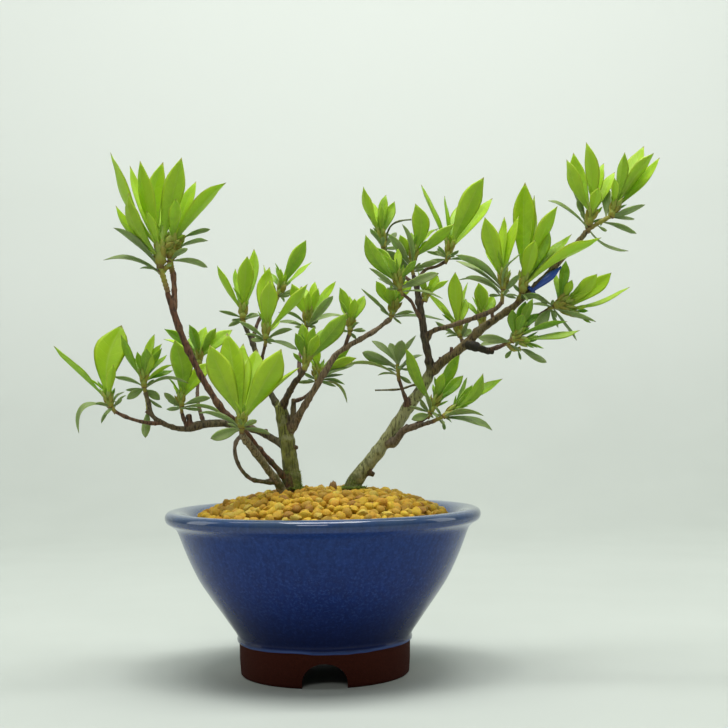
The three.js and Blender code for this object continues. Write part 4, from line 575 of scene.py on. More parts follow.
         (0.95, 132.6, 207, -4, 5, 0.04), (0.8, 135.3, 204.6, 2, 5, -0.05),
         (0.93, 117, 196.6, -7, 3, 0.01)],
        [(0.8, 112.8, 194.6, 7, 4, 0.03), (0.9, 114.4, 192.6, 12, 4, 0.02),
         (1.9, 98.8, 194.7, 4, 2, 0.03), (1.8, 101.8, 188, 3, 2.6, 0.03),
         (0.1, 90.2, 187.9, -3, 1.6, 0.06), (0.78, 129.2, 185.8, -2, 2.4, -0.02),
         (0.9, 124.6, 179.7, 3, 1.8, 0.02), (0.6, 125.3, 173.6, -3, 1.4, 0.05),
         (0.1, 122, 166.8, 1, 2.2, -0.15)],
    ),
    "upright_side": (
        -9, [],
        [[(40.5, 147.8, 0), (41.3, 151, 0)]],
        [(0.8, 38.8, 156.6, -2, 3, 0.04), (0.9, 45.8, 157.1, 2, 4, 0.04),
         (0.6, 49.8, 155.2, -3, 1.8, 0.03)],
        [],
    ),
}

# How green each shoot's new leaves are: 0 is the brightest yellow-green, 1 a full green.
DEEP_GREEN = {
    "center_front": 0.65, "upper_right_of_center": 0.6, "lower_right": 0.85, "inner_right": 0.9,
    "right_side_a": 0.6, "right_side_b": 0.55, "behind_stem": 0.55, "left_tier": 0.5, "top": 0.35,
    "upper_crest": 0.3, "center": 0.12, "mid_left": 0.12, "far_right": 0.4, "bough_tip_b": 0.25,
    "crown_right_b": 0.3, "center_top": 0.4, "center_right": 0.2,
}
# How much thicker than usual a shoot's buds are.
STOUT = {
    "crown_left": 1.75, "front_left": 1.3, "far_left": 1.25, "bough_tip_b": 1.3, "upper_left": 1.2,
    "far_right": 1.25, "crown_right_b": 1.25,
}
# Bark colours, 0 to 1 in sRGB, and the branches that have them. The others are twig brown.
TWIG = (0.42, 0.31, 0.23)
RED_TWIG = (0.45, 0.32, 0.23)
BARK = {
    "left_trunk": (0.54, 0.55, 0.25), "left_fork": (0.32, 0.29, 0.20),
    "right_fork": (0.36, 0.29, 0.20), "lower_stem": (0.52, 0.44, 0.33),
    "lower_stem_spur": (0.50, 0.43, 0.33), "left_bough": (0.43, 0.38, 0.27),
    "grey_stem": (0.60, 0.56, 0.43), "long_stem": (0.42, 0.27, 0.18),
    "crown_twig": (0.52, 0.37, 0.27), "loop_twig": (0.55, 0.47, 0.40),
    "right_trunk": (0.65, 0.66, 0.44), "upright": (0.33, 0.28, 0.21),
    "right_bough": (0.48, 0.41, 0.25), "second_bough": (0.43, 0.35, 0.23),
    "rough_spur": (0.20, 0.18, 0.11), "right_side_bough": (0.47, 0.41, 0.32),
    "dry_shoot": (0.46, 0.44, 0.27), "curled_shoot": (0.44, 0.47, 0.28),
    "far_left_twig": RED_TWIG, "far_right_twig": RED_TWIG,
}


def scale_at(depth):
    return 1 + depth / EYE["distance"]


def place(across, up, depth):
    """A point of the front elevation, in metres in the row frame."""
    right = (across - EYE["across"]) * scale_at(depth)
    rise = (up - EYE["up"]) * scale_at(depth)
    x = EYE["x"] + right * math.cos(LEAN) + rise * math.sin(LEAN)
    z = EYE["up"] + rise * math.cos(LEAN) - right * math.sin(LEAN)
    return POT_AXIS + Vector((x, depth, z)) * MM


def smooth(value, low, high):
    share = min(max((value - low) / (high - low), 0.0), 1.0)
    return share * share * (3 - 2 * share)


def bell(value, middle, reach):
    return math.exp(-(((value - middle) / reach) ** 2))


def turned(first, second, angle):
    """The direction at an angle from the first towards the second."""
    return first * math.cos(angle) + second * math.sin(angle)


def profile(stations, share):
    """The width at a share of the way along a blade."""
    for (a, wa), (b, wb) in zip(stations, stations[1:]):
        if share <= b:
            return wa + (wb - wa) * (share - a) / (b - a)
    return stations[-1][1]


def linear(colour):
    """An sRGB colour, 0 to 1, as the linear RGBA that shaders take."""
    return tuple(c / 12.92 if c < 0.04045 else ((c + 0.055) / 1.055) ** 2.4 for c in colour) + (1,)


# ---------------------------------------------------------------- lines

def steps(line):
    return [(b - a).length for a, b in zip(line, line[1:])]


def along(line, share):
    """The point at a share of the way along a broken line, and the line's direction there."""
    lengths = steps(line)
    left = share * sum(lengths)
    i = 0
    while i < len(lengths) - 1 and left > lengths[i]:
        left -= lengths[i]
        i += 1
    point = line[i].lerp(line[i + 1], min(left / lengths[i], 1))
    return point, (line[i + 1] - line[i]).normalized()


def curve_through(points, step):
    """A smooth line through points, as Catmull and Rom draw it."""
    ends = [points[0] * 2 - points[1], *points, points[-1] * 2 - points[-2]]
    line = []
    for p0, p1, p2, p3 in zip(ends, ends[1:], ends[2:], ends[3:]):
        count = max(2, round((p2 - p1).length / step))
        for t in (i / count for i in range(count)):
            bend = 2 * p0 - 5 * p1 + 4 * p2 - p3
            turn = 3 * p1 - p0 - 3 * p2 + p3
            line.append(0.5 * (2 * p1 + (p2 - p0) * t + bend * t**2 + turn * t**3))
    return [*line, points[-1]]


def branch_line(rows, step):
    """The fine centre line of a branch, its radius at each point and the way travelled."""
    points = [place(a, u, d) for a, u, d, _ in rows]
    radii = [width / 2 * scale_at(d) * MM for _, _, d, width in rows]
    line = curve_through(points, step)
    travelled = [0.0, *accumulate(steps(line))]
    marks = [0.0, *accumulate(steps(points))]
    stretch = marks[-1] / travelled[-1]
    return line, np.interp([t * stretch for t in travelled], marks, radii), travelled


# ---------------------------------------------------------------- making objects

def in_scene(name, data):
    made = bpy.data.objects.new(name, data)
    bpy.context.scene.collection.objects.link(made)
    return made


def new_object(name, vertices, faces, material):
    mesh = bpy.data.meshes.new(name)
    mesh.from_pydata([tuple(v) for v in vertices], [], faces)
    mesh.validate()
    mesh.shade_smooth()
    mesh.materials.append(material)
    return in_scene(name, mesh)


def walls(start, rings, sides, closed=False):
    """Faces between rings of points that follow each other; closed joins the last to the first."""
    faces = []
    for ring in range(rings if closed else rings - 1):
        here = start + ring * sides
        there = start + (ring + 1) % rings * sides
        for k in range(sides):
            after = (k + 1) % sides
            faces.append((here + k, here + after, there + after, there + k))
    return faces


def capped(start, rings, sides):
    """Walls with a face over both ends."""
    last = start + (rings - 1) * sides
    ends = [tuple(range(start + sides - 1, start - 1, -1)), tuple(range(last, last + sides))]
    return walls(start, rings, sides) + ends


def shifted(faces, start):
    return [tuple(v + start for v in face) for face in faces]


def add_attribute(piece, name, kind, values):
    """kind is FLOAT, FLOAT_VECTOR or FLOAT_COLOR, with one value for each vertex."""
    layer = piece.data.attributes.new(name, kind, "POINT")
    key = {"FLOAT": "value", "FLOAT_VECTOR": "vector", "FLOAT_COLOR": "color"}[kind]
    layer.data.foreach_set(key, np.asarray(values, dtype=np.float32).ravel())


def outward(piece):
    """Turns every face outwards."""
    shape = bmesh.new()
    shape.from_mesh(piece.data)
    bmesh.ops.recalc_face_normals(shape, faces=shape.faces)
    shape.to_mesh(piece.data)
    shape.free()


def modified(piece):
    """The piece's mesh as its modifiers leave it."""
    shown = piece.evaluated_get(bpy.context.evaluated_depsgraph_get())
    return bpy.data.meshes.new_from_object(shown)


def finished(piece, slot, *nodes):
    """The piece stands for these nodes, and rides on the one body that the object has."""
    if nodes:
        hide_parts(*nodes)
    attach(piece, "root")


# ---------------------------------------------------------------- materials

class Shade:
    """Builds one material's nodes. Values are sockets, numbers, or sRGB colours from 0 to 1."""

    def __init__(self, name):
        self.material = bpy.data.materials.new(name)
        self.material.use_nodes = True
        self.nodes = self.material.node_tree.nodes
        self.coordinates = self.nodes.new("ShaderNodeTexCoord").outputs["Object"]

    def fill(self, node, values, output=0):
        """Gives the inputs, by name or number, their values, and returns one output."""
        for key, value in values.items():
            socket = node.inputs[key]
            if isinstance(value, bpy.types.NodeSocket):
                self.material.node_tree.links.new(value, socket)
            else:
                socket.default_value = linear(value) if socket.type == "RGBA" else value
        return node.outputs[output]

    def finish(self, **values):
        values = {name.replace("_", " "): value for name, value in values.items()}
        self.fill(self.nodes["Principled BSDF"], values)
        return self.material

    def attribute(self, name, output="Fac"):
        node = self.nodes.new("ShaderNodeAttribute")
        node.attribute_name = name
        return node.outputs[output]

    def split(self, vector):
        node = self.nodes.new("ShaderNodeSeparateXYZ")
        self.fill(node, {0: vector})
        return node.outputs

    def math(self, operation, *values):
        node = self.nodes.new("ShaderNodeMath")
        node.operation = operation
        return self.fill(node, dict(enumerate(values)))

    def times(self, value, *others):
        for other in others:
            value = self.math("MULTIPLY", value, other)
        return value

    def between(self, value, low, high, start=0.0, end=1.0):
        """From start to end, as the value goes from low to high."""
        node = self.nodes.new("ShaderNodeMapRange")
        node.interpolation_type = "SMOOTHSTEP"
        return self.fill(node, dict(enumerate((value, low, high, start, end))))

    def mix(self, share, a, b, blend="MIX"):
        node = self.nodes.new("ShaderNodeMix")
        node.data_type = "RGBA"
        node.blend_type = blend
        return self.fill(node, {"Factor": share, 6: a, 7: b}, 2)

    def tints(self, colour, *layers):
        """The colour under layers, each of another colour and what between takes for its share."""
        for other, *share in layers:
            colour = self.mix(self.between(*share), colour, other)
        return colour

    def texture(self, kind, scale, values, output):
        """A pattern in the object's space. The scale is one number, or one for each axis."""
        at = self.coordinates
        if isinstance(scale, tuple):
            at = self.fill(self.nodes.new("ShaderNodeMapping"), {"Scale": scale, "Vector": at})
            scale = 1.0
        return self.fill(self.nodes.new(kind), {"Scale": scale, "Vector": at, **values}, output)

    def noise(self, scale, detail=3.0, roughness=0.5):
        values = {"Detail": detail, "Roughness": roughness}
        return self.texture("ShaderNodeTexNoise", scale, values, "Fac")

    def cells(self, scale):
        return self.texture("ShaderNodeTexVoronoi", scale, {}, "Distance")

    def bump(self, height, distance, strength, over=None):
        """A normal with this relief, on top of the relief that over has."""
        values = {"Height": height, "Distance": distance, "Strength": strength}
        if over:
            values["Normal"] = over
        return self.fill(self.nodes.new("ShaderNodeBump"), values)


def leaf_material(name, young, deep, pale, margin, tip, gloss):
    """A blade: attribute "blade" is (along, across, face), "tone" its share of the deep colour."""
    shade = Shade(name)
    way, across, face = shade.split(shade.attribute("blade", "Vector"))
    out = shade.math("ABSOLUTE", across)
    patches = shade.math("MULTIPLY_ADD", shade.noise(420.0, 3.0, 0.6), 0.7, -0.35)
    tone = shade.math("ADD", shade.attribute("tone"), patches)
    # deeper green towards the base and lighter towards the tip: painted shade at the base, painted
    # light towards the tip
    tone = shade.math("ADD", tone, shade.between(way, 0.1, 0.75, 0.3, -0.12))
    colour = shade.tints(young, (deep, tone, 0.0, 1.0))
    # side veins rise from the rib towards the margin
    vein_phase = shade.math("SUBTRACT", shade.times(way, 9.0), out)
    vein = shade.math("PINGPONG", shade.times(vein_phase, 1.6), 0.8)
    inside = shade.between(out, 0.82, 1.0, 1.0, 0.0)
    vein_share = shade.times(shade.between(vein, 0.0, 0.16, 1.0, 0.0), inside)
    colour = shade.mix(shade.times(vein_share, 0.1), colour, pale)
    colour = shade.tints(colour, (margin, out, 0.8, 1.0, 0.0, 0.35))
    rib = shade.between(out, 0.02, 0.09, 0.2, 0.0)
    foot = (pale, way, 0.04, 0.26, 0.6, 0.0)
    colour = shade.tints(shade.mix(rib, colour, pale), foot, (tip, way, 0.94, 0.99, 0.0, 0.85))
    fine = shade.noise(2600.0, 2.0)
    relief = shade.math("ADD", shade.times(vein_share, -0.6), rib)
    return shade.finish(
        Base_Color=shade.mix(face, colour, shade.mix(0.18, colour, pale)),
        Roughness=shade.between(fine, 0.2, 0.8, gloss, gloss + 0.18),
        Normal=shade.bump(fine, 0.00003, 0.35, shade.bump(relief, 0.00012, 0.6)),
        Subsurface_Weight=0.22,
        Subsurface_Scale=0.0012,
        Subsurface_Radius=(0.6, 1.0, 0.25),
        Specular_IOR_Level=0.42,
    )


def stem_material():
    """Growing tips and bud scales: brown at the base, olive-yellow, then green at the top."""
    shade = Shade("shoot_stem_skin")
    way = shade.split(shade.attribute("blade", "Vector"))[0]
    tone = shade.attribute("tone")
    hairs = shade.noise((2600.0, 2600.0, 500.0), 3.0, 0.6)
    colour = shade.tints(
        (0.46, 0.33, 0.18),
        ((0.60, 0.58, 0.18), tone, 0.0, 0.22),
        ((0.62, 0.73, 0.30), tone, 0.3, 0.85),
        ((0.70, 0.68, 0.46), hairs, 0.45, 0.75, 0.0, 0.4),
        ((0.46, 0.32, 0.13), way, 0.78, 1.0, 0.0, 0.6),
    )
    return shade.finish(
        Base_Color=colour,
        Roughness=shade.between(hairs, 0.3, 0.7, 0.5, 0.75),
        Normal=shade.bump(hairs, 0.00015, 0.6),
        Subsurface_Weight=0.15,
        Subsurface_Scale=0.001,
    )


def glaze_material():
    """Cobalt glaze over red-brown clay, which it leaves bare below its wavy lower edge."""
    shade = Shade("cobalt_glaze_on_clay")
    height = shade.split(shade.coordinates)[2]
    cloud = shade.noise(38.0, 4.0, 0.6)
    fleck = shade.noise(900.0, 3.0, 0.7)
    runs = shade.noise((620.0, 620.0, 170.0), 3.0, 0.6)
    colour = shade.tints(
        (0.025, 0.15, 0.415),
        # lighter from 34 mm up to 56 mm: painted light on the upper body
        ((0.12, 0.235, 0.49), height, 34.0 * MM, 56.0 * MM),
        ((0.10, 0.21, 0.50), cloud, 0.35, 0.7, 0.0, 0.35),
        ((0.03, 0.11, 0.32), runs, 0.35, 0.65, 0.45, 0.0),
        ((0.17, 0.29, 0.58), fleck, 0.45, 0.72, 0.0, 0.6),
        # darker from 40 mm down to 15 mm: painted shade on the lower body towards the foot
        ((0.06, 0.095, 0.25), height, 15.0 * MM, 40.0 * MM, 0.85, 0.0),
    )
    # the glaze runs thin on the rim and along its lower edge
    rim = shade.between(height, 59.6 * MM, 63.4 * MM, 0.0, 0.75)
    thin = shade.times(rim, shade.between(cloud, 0.25, 0.6, 0.6, 1.0))
    colour = shade.mix(thin, colour, (0.26, 0.33, 0.38))
    lowest = (FOOT["glaze_edge"] - FOOT["glaze_wander"] / 2) * MM
    wander = shade.math("MULTIPLY_ADD", shade.noise(55.0, 2.0), FOOT["glaze_wander"] * MM, lowest)
    edge = shade.math("SUBTRACT", height, wander)
    colour = shade.tints(colour, ((0.30, 0.40, 0.66), edge, 0.1 * MM, 1.5 * MM, 0.7, 0.0))
    grit = shade.noise(1500.0, 4.0, 0.65)
    clay = shade.mix(grit, (0.17, 0.07, 0.045), (0.30, 0.13, 0.09))
    bare = shade.between(edge, -0.25 * MM, 0.15 * MM, 1.0, 0.0)
    sheen = shade.between(height, 56.5 * MM, 60.5 * MM, 0.18, 0.06)
    gleam = shade.between(height, 57.5 * MM, 61.0 * MM, 0.2, 0.52)
    swell = shade.bump(cloud, 0.0005, 0.2)
    return shade.finish(
        Base_Color=shade.mix(bare, colour, clay),
        Roughness=shade.math("MAXIMUM", sheen, shade.between(bare, 0.0, 1.0, 0.0, 0.85)),
        Specular_IOR_Level=shade.times(shade.between(bare, 0.0, 1.0, 1.0, 0.4), gleam),
        Normal=shade.bump(shade.times(grit, bare), 0.0003, 0.5, swell),
    )


def granule_material():
    """Golden pumice: attribute "tone" picks each granule's own shade."""
    shade = Shade("golden_granules")
    stops = [
        (0.0, (0.58, 0.45, 0.05)), (0.16, (0.65, 0.50, 0.05)), (0.42, (0.73, 0.575, 0.06)),
        (0.66, (0.79, 0.665, 0.12)), (0.84, (0.72, 0.52, 0.06)), (0.95, (0.80, 0.73, 0.28)),
        (1.0, (0.55, 0.38, 0.045)),
    ]
    ramp = shade.nodes.new("ShaderNodeValToRGB")
    ends = ramp.color_ramp.elements
    ends[0].color = linear(stops[0][1])
    ends[1].color = linear(stops[-1][1])
    for position, own in stops[1:-1]:
        ends.new(position).color = linear(own)
    colour = shade.fill(ramp, {0: shade.attribute("tone")})
    dust = shade.noise(1400.0, 4.0, 0.65)
    stain = shade.noise(260.0, 2.0)
    colour = shade.tints(
        colour,
        ((0.82, 0.72, 0.26), dust, 0.4, 0.75, 0.0, 0.3),
        ((0.58, 0.39, 0.04), stain, 0.5, 0.75, 0.0, 0.45),
    )
    return shade.finish(
        Base_Color=colour,
        Roughness=shade.between(dust, 0.3, 0.7, 0.62, 0.9),
        Normal=shade.bump(shade.math("ADD", dust, shade.cells(2400.0)), 0.00025, 0.45),
        Subsurface_Weight=0.12,
        Subsurface_Scale=0.0015,
    )


def bark_material():
    """Attribute "bark" is a branch's own colour, "age" its lichen. Moss creeps up the trunks."""
    shade = Shade("azalea_bark")
    across, _, height = shade.split(shade.coordinates)
    grain = shade.noise((1500.0, 1500.0, 260.0), 4.0, 0.6)
    own = shade.attribute("bark", "Color")
    darker = shade.mix(1.0, own, (0.50, 0.48, 0.42), "MULTIPLY")
    colour = shade.tints(darker, (own, grain, 0.36, 0.56))
    patch = shade.between(shade.noise(210.0, 3.0, 0.6), 0.5, 0.62)
    flaky = shade.between(grain, 0.3, 0.55, 0.5, 1.0)
    lichen = shade.times(patch, flaky, shade.attribute("age"))
    colour = shade.mix(lichen, colour, shade.mix(0.7, own, (0.62, 0.62, 0.46)))
    low = shade.between(height, 68.0 * MM, 98.0 * MM, 1.0, 0.0)
    left = shade.between(across, -4.0 * MM, 6.0 * MM, 1.0, 0.3)
    mossy = shade.times(low, left, shade.between(shade.noise(330.0, 4.0, 0.7), 0.38, 0.6))
    cracks = shade.cells((1100.0, 1100.0, 330.0))
    rough = shade.math("ADD", grain, shade.times(cracks, 0.6))
    return shade.finish(
        Base_Color=shade.mix(mossy, colour, (0.27, 0.31, 0.08)),
        Roughness=shade.between(grain, 0.3, 0.7, 0.62, 0.88),
        Normal=shade.bump(rough, 0.0003, 0.7),
    )


def plain_material(name, low, high, scale, roughness, relief):
    """A quiet two-tone surface for the parts that are hardly seen."""
    shade = Shade(name)
    spots = shade.noise(scale, 4.0, 0.6)
    return shade.finish(
        Base_Color=shade.mix(spots, low, high),
        Roughness=shade.between(spots, 0.3, 0.7, roughness, roughness + 0.1),
        Normal=shade.bump(spots, relief, 0.5),
    )


NEW_LEAF = leaf_material(
    "new_leaf_blade", young=(0.64, 0.785, 0.06), deep=(0.37, 0.545, 0.03), pale=(0.74, 0.82, 0.36),
    margin=(0.62, 0.75, 0.20), tip=(0.44, 0.30, 0.16), gloss=0.42,
)
OLD_LEAF = leaf_material(
    "old_leaf_blade", young=(0.53, 0.60, 0.34), deep=(0.38, 0.47, 0.22), pale=(0.67, 0.70, 0.52),
    margin=(0.54, 0.60, 0.38), tip=(0.42, 0.37, 0.26), gloss=0.45,
)
STEM = stem_material()
GLAZE = glaze_material()
GRANULES = granule_material()
BARK_SKIN = bark_material()
SOIL, NETTING, VINYL, MOSS, DRY_BUD = (
    plain_material(*look)
    for look in (
        ("damp_potting_soil", (0.20, 0.14, 0.08), (0.50, 0.38, 0.20), 700.0, 0.85, 0.0006),
        ("moulded_netting", (0.09, 0.10, 0.11), (0.15, 0.16, 0.17), 1800.0, 0.5, 0.00008),
        ("blue_vinyl", (0.13, 0.24, 0.58), (0.24, 0.38, 0.73), 240.0, 0.16, 0.0002),
        ("moss_blades", (0.25, 0.32, 0.06), (0.53, 0.62, 0.14), 900.0, 0.7, 0.0002),
        ("dry_bud_scales", (0.44, 0.31, 0.15), (0.68, 0.54, 0.30), 900.0, 0.7, 0.0002),
    )
)

# ---------------------------------------------------------------- leaves

def width_direction(chord, axis, shown):
    """Across a blade: turned about its chord until it shows its given width from the front."""
    to_axis = axis - chord * axis.dot(chord)
    if to_axis.length_squared < 1e-3:
        to_axis = BACK - chord * chord.y
    natural = to_axis.normalized().cross(chord).normalized()
    across = BACK.cross(chord).normalized()
    inward = chord.cross(across)
    turn = math.acos(min(shown, 1))
    side = math.copysign(1, natural.dot(across)) * math.cos(turn)
    depth = math.copysign(1, natural.dot(inward)) * math.sin(turn)
    return (across * side + inward * depth).normalized()


def outwards(direction, turn):
    """Square to a direction, at a turn about it."""
    return Quaternion(direction, turn) @ direction.orthogonal().normalized()


class LeafMesh:
    """Gathers blades, stems and bud scales into one object. Slot 1 has the stems' material."""

    def __init__(self):
        self.vertices = []
        self.faces = []
        self.blade = []
        self.tone = []
        self.slots = []

    def add(self, point, blade, tone):
        self.vertices.append(point)
        self.blade.append(blade)
        self.tone.append(tone)

    def close(self, start, sides, slot):
        """Skins the rings that were added since start."""
        faces = capped(start, (len(self.vertices) - start) // sides, sides)
        self.faces += faces
        self.slots += [slot] * len(faces)

    def blade_of(self, root, axis, tip, seen, bow, sway, ratio, outline, tone, draw, slot=0):
        """A blade from root to tip with a folded, waved and twisted surface."""
        stations, columns = BLADE_GRIDS[slot]
        chord = tip - root
        length = chord.length
        chord.normalize()
        width = max(seen * scale_at((tip.y - POT_AXIS.y) / MM) * MM, ratio * length)
        across = width_direction(chord, axis, seen * MM / width)
        face = chord.cross(across)
        if face.dot(axis) < 0:
            across = -across
            face = -face
        right = Vector((chord.z, 0, -chord.x)).normalized()
        if right.x < 0:
            right.negate()
        middle = root.lerp(tip, 0.5) + face * (2 * bow * length) + right * (2 * sway * length)
        phase = draw.uniform(0, FULL_TURN)
        waves = draw.uniform(*LEAF["waves"])
        wave_size = draw.uniform(*LEAF["wave_size"])
        fold = LEAF["fold"] * draw.uniform(*LEAF["folds"])
        twist = math.radians(draw.uniform(-LEAF["twist"], LEAF["twist"]))
        hook = draw.uniform(*LEAF["hook"]) * length
        lean = draw.uniform(-LEAF["lean"], LEAF["lean"]) * length
        # once round the section: over the upper face, then back under it
        section = [(2 * k / columns - 1, 0) for k in range(columns + 1)]
        section += [(1 - 2 * k / columns, 1) for k in range(1, columns)]
        start = len(self.vertices)
        for i in range(stations + 1):
            share = i / stations
            share = share + 0.06 * math.sin(FULL_TURN * share)
            centre = root * (1 - share) ** 2 + middle * (2 * share * (1 - share)) + tip * share**2
            centre += (face * hook + across * lean) * smooth(share, 0.84, 1.0)
            forward = ((middle - root) * (1 - share) + (tip - middle) * share).normalized()
            side = Quaternion(forward, twist * share) @ across
            normal = forward.cross(side).normalized()
            half = width * profile(outline, share) / 2
            body = LEAF["thickness"] * MM * (0.5 if share > 0.97 else 1)
            for c, under in section:
                lift = fold * half * abs(c) ** 1.2
                ripple = wave_size * half * c * c * math.sin(waves * share + phase + 1.5 * c)
                thick = body * (1 - 0.75 * abs(c)) / 2 + (0.1 * MM if share < 0.2 else 0)
                stand = lift + ripple + (-thick if under else thick)
                groove = 0.05 * half * (1 - smooth(abs(c), 0, 0.25))
                point = centre + side * (half * c) + normal * (stand - groove)
                self.add(point, (share, c, under), tone)
        self.close(start, len(section), slot)

    def stem(self, path, radii, tones, slot=1, sides=10):
        start = len(self.vertices)
        side = BACK
        for i, point in enumerate(path):
            before, after = path[max(i - 1, 0)], path[min(i + 1, len(path) - 1)]
            forward = (after - before).normalized()
            side = (side - forward * side.dot(forward)).normalized()
            third = forward.cross(side)
            for k in range(sides):
                out = turned(side, third, FULL_TURN * k / sides)
                self.add(point + out * radii[i], (0.5, 0.5, 0), tones[i])
        self.close(start, sides, slot)

    def piece(self, name, material):
        made = new_object(name, self.vertices, self.faces, material)
        made.data.materials.append(STEM)
        made.data.polygons.foreach_set("material_index", self.slots)
        add_attribute(made, "blade", "FLOAT_VECTOR", self.blade)
        add_attribute(made, "tone", "FLOAT", self.tone)
        outward(made)
        return made


def grow(shoot, kind):
    """A shoot's new or old leaves, with the axes or stalks that carry them."""
    depth, stalks, axes, fresh, mature = SHOOTS[shoot]
    young = kind == "new"
    leaves = fresh if young else mature
    if not leaves:
        return
    draw = random.Random(f"{shoot} {kind}")
    lines = [[place(a, u, d + depth) for a, u, d in line] for line in (axes if young else stalks)]
    mesh = LeafMesh()
    deep = DEEP_GREEN.get(shoot, LEAF["new_tone"]) if young else LEAF["old_tone"]
    stout = STOUT.get(shoot, 1)
    look = (LEAF["new_ratio"], NEW_BLADE) if young else (LEAF["old_ratio"], OLD_BLADE)
    for at, a, u, d, seen, bow, *sway in leaves:
        share = at - int(at)
        if young:
            share = BULB["first_leaf"] + BULB["leafy"] * share
        point, direction = along(lines[int(at)], share)
        tone = deep + draw.uniform(-0.35, 0.35)
        tip = place(a, u, d + depth)
        mesh.blade_of(point, direction, tip, seen, bow, sway[0] if sway else 0, *look, tone, draw)
    for line in lines:
        back = (line[0] - line[1]).normalized() * BULB["buried"] * MM
        path = curve_through([line[0] + back, *line], STALK["step"] * MM)
        shares = [i / (len(path) - 1) for i in range(len(path))]
        if young:
            mesh.stem(
                path,
                [
                    (BULB["radius"] - BULB["taper"] * s + BULB["swell"] * bell(s, 0.3, 0.24))
                    * (1 + (stout - 1) * smooth(s, -0.04, 0.22)) * MM
                    for s in shares
                ],
                [smooth(s, 0.05, 0.3) * 0.35 + 0.6 * s for s in shares],
            )
            bud_scales(mesh, line, draw, deep, stout)
        else:
            widen = 0.5 + 0.5 * stout
            radii = [STALK["radius"] + STALK["uneven"] * math.sin(40 * s) for s in shares]
            mesh.stem(
                path,
                [radius * widen * MM for radius in radii],
                [0.3 * s + 0.4 * (stout - 1) * smooth(s, 0.5, 1) for s in shares],
            )
            small_leaves(mesh, line, draw, max(1, SMALL_LEAF["count"] // len(lines)))
    piece = mesh.piece(f"{shoot}_{kind}_blades", NEW_LEAF if young else OLD_LEAF)
    finished(piece, f"{kind}_leaf", f"{shoot}_{kind}_leaves")


def bud_scales(mesh, line, draw, deep, stout):
    """Overlapping scales about a growing tip, and a few small young leaves that stand in it."""
    length = sum(steps(line))

    def spiral(count, first, reach):
        """Number, share of the way, point, and directions along the tip and out from it."""
        for number in range(count):
            share = first + reach * number / (count - 1)
            point, direction = along(line, share)
            turn = number * NEXT_LEAF + draw.uniform(-0.3, 0.3)
            yield number, share, point, direction, outwards(direction, turn)

    for _, share, point, direction, out in spiral(BULB["scales"], 0.02, 0.55):
        reach = turned(direction, out, math.radians(draw.uniform(6, 30)))
        root = point + out * draw.uniform(0.55, 0.85) * stout * MM
        size = min(draw.uniform(3.2, 6.0) * MM, 0.85 * length)
        seen = draw.uniform(1.2, 1.9) * stout
        bow = draw.uniform(-0.16, -0.05)
        tone = 0.25 + 0.9 * share + draw.uniform(-0.15, 0.15)
        tip = root + reach * size
        mesh.blade_of(
            root, direction, tip, seen, bow, 0, BULB["scale_ratio"], SCALE_BLADE, tone, draw, 1
        )
    for number, _, point, direction, out in spiral(BULB["inner_leaves"], 0.15, 0.7):
        slender = number % 3 == 0
        spread = draw.uniform(*((0.45, 0.8) if slender else (0.2, 0.5)))
        reach = (direction * draw.uniform(0.75, 1.0) + out * spread).normalized()
        size = draw.uniform(*((6.5, 9.5) if slender else (4, 8))) * MM
        if not slender:
            size = min(size, 1.1 * length)
        seen = draw.uniform(0.7, 1.5)
        bow = draw.uniform(-0.04, 0.06)
        # the small leaves inside the tip lean to the deep green: painted shade inside the whorl
        tone = deep + draw.uniform(-0.2, 0.75)
        ratio = BULB["slender_ratio"] if slender else LEAF["new_ratio"]
        mesh.blade_of(
            point, direction, point + reach * size, seen, bow, 0, ratio, NEW_BLADE, tone, draw
        )


def small_leaves(mesh, line, draw, count):
    """A few narrow old leaves that stand out all round a stalk."""
    first_turn = draw.uniform(0, FULL_TURN)
    for number in range(count):
        point, direction = along(line, draw.uniform(0.15, 0.95))
        turn = first_turn + number * NEXT_LEAF + draw.uniform(-0.4, 0.4)
        out = outwards(direction, turn)
        reach = (direction * draw.uniform(-0.25, 0.6) + out).normalized()
        tip = point + reach * (draw.uniform(*SMALL_LEAF["length"]) * MM)
        seen = draw.uniform(*SMALL_LEAF["width"])
        bow = draw.uniform(0.04, 0.16)
        tone = draw.uniform(0.3, 1.0)
        mesh.blade_of(
            point, direction, tip, seen, bow, 0, SMALL_LEAF["ratio"], OLD_BLADE, tone, draw
        )


# ---------------------------------------------------------------- wood

def knotted(name, rows, line, radii, travelled):
    """The radius along a branch with its knots, its rings and its uneven skin."""
    draw = random.Random(name)
    rugged = RUGGED.get(name, WOOD["rugged"])
    size = KNOT["on_trunk"] if rows[0][3] > KNOT["trunk_width"] else KNOT["size"]
    knots = [
        (draw.uniform(2, 6) + KNOT["pitch"] * i + draw.uniform(-2, 2), draw.uniform(0.2, 1) * size)
        for i in range(int(travelled[-1] / MM / KNOT["pitch"]) + 1)
    ]
    shaped = []
    for point, radius, t in zip(line, radii, travelled):
        swell = 1 + WOOD["uneven"] * noise.noise(point * 200) + rugged * noise.noise(point * 700)
        for at, height in knots:
            swell += height * bell(t / MM, at, KNOT["reach"])
        if radius < RING["up_to_radius"] * MM:
            swell += RING["size"] * bell(t / MM % RING["pitch"] / RING["pitch"], 0.5, RING["reach"])
        shaped.append(radius * swell)
    return shaped


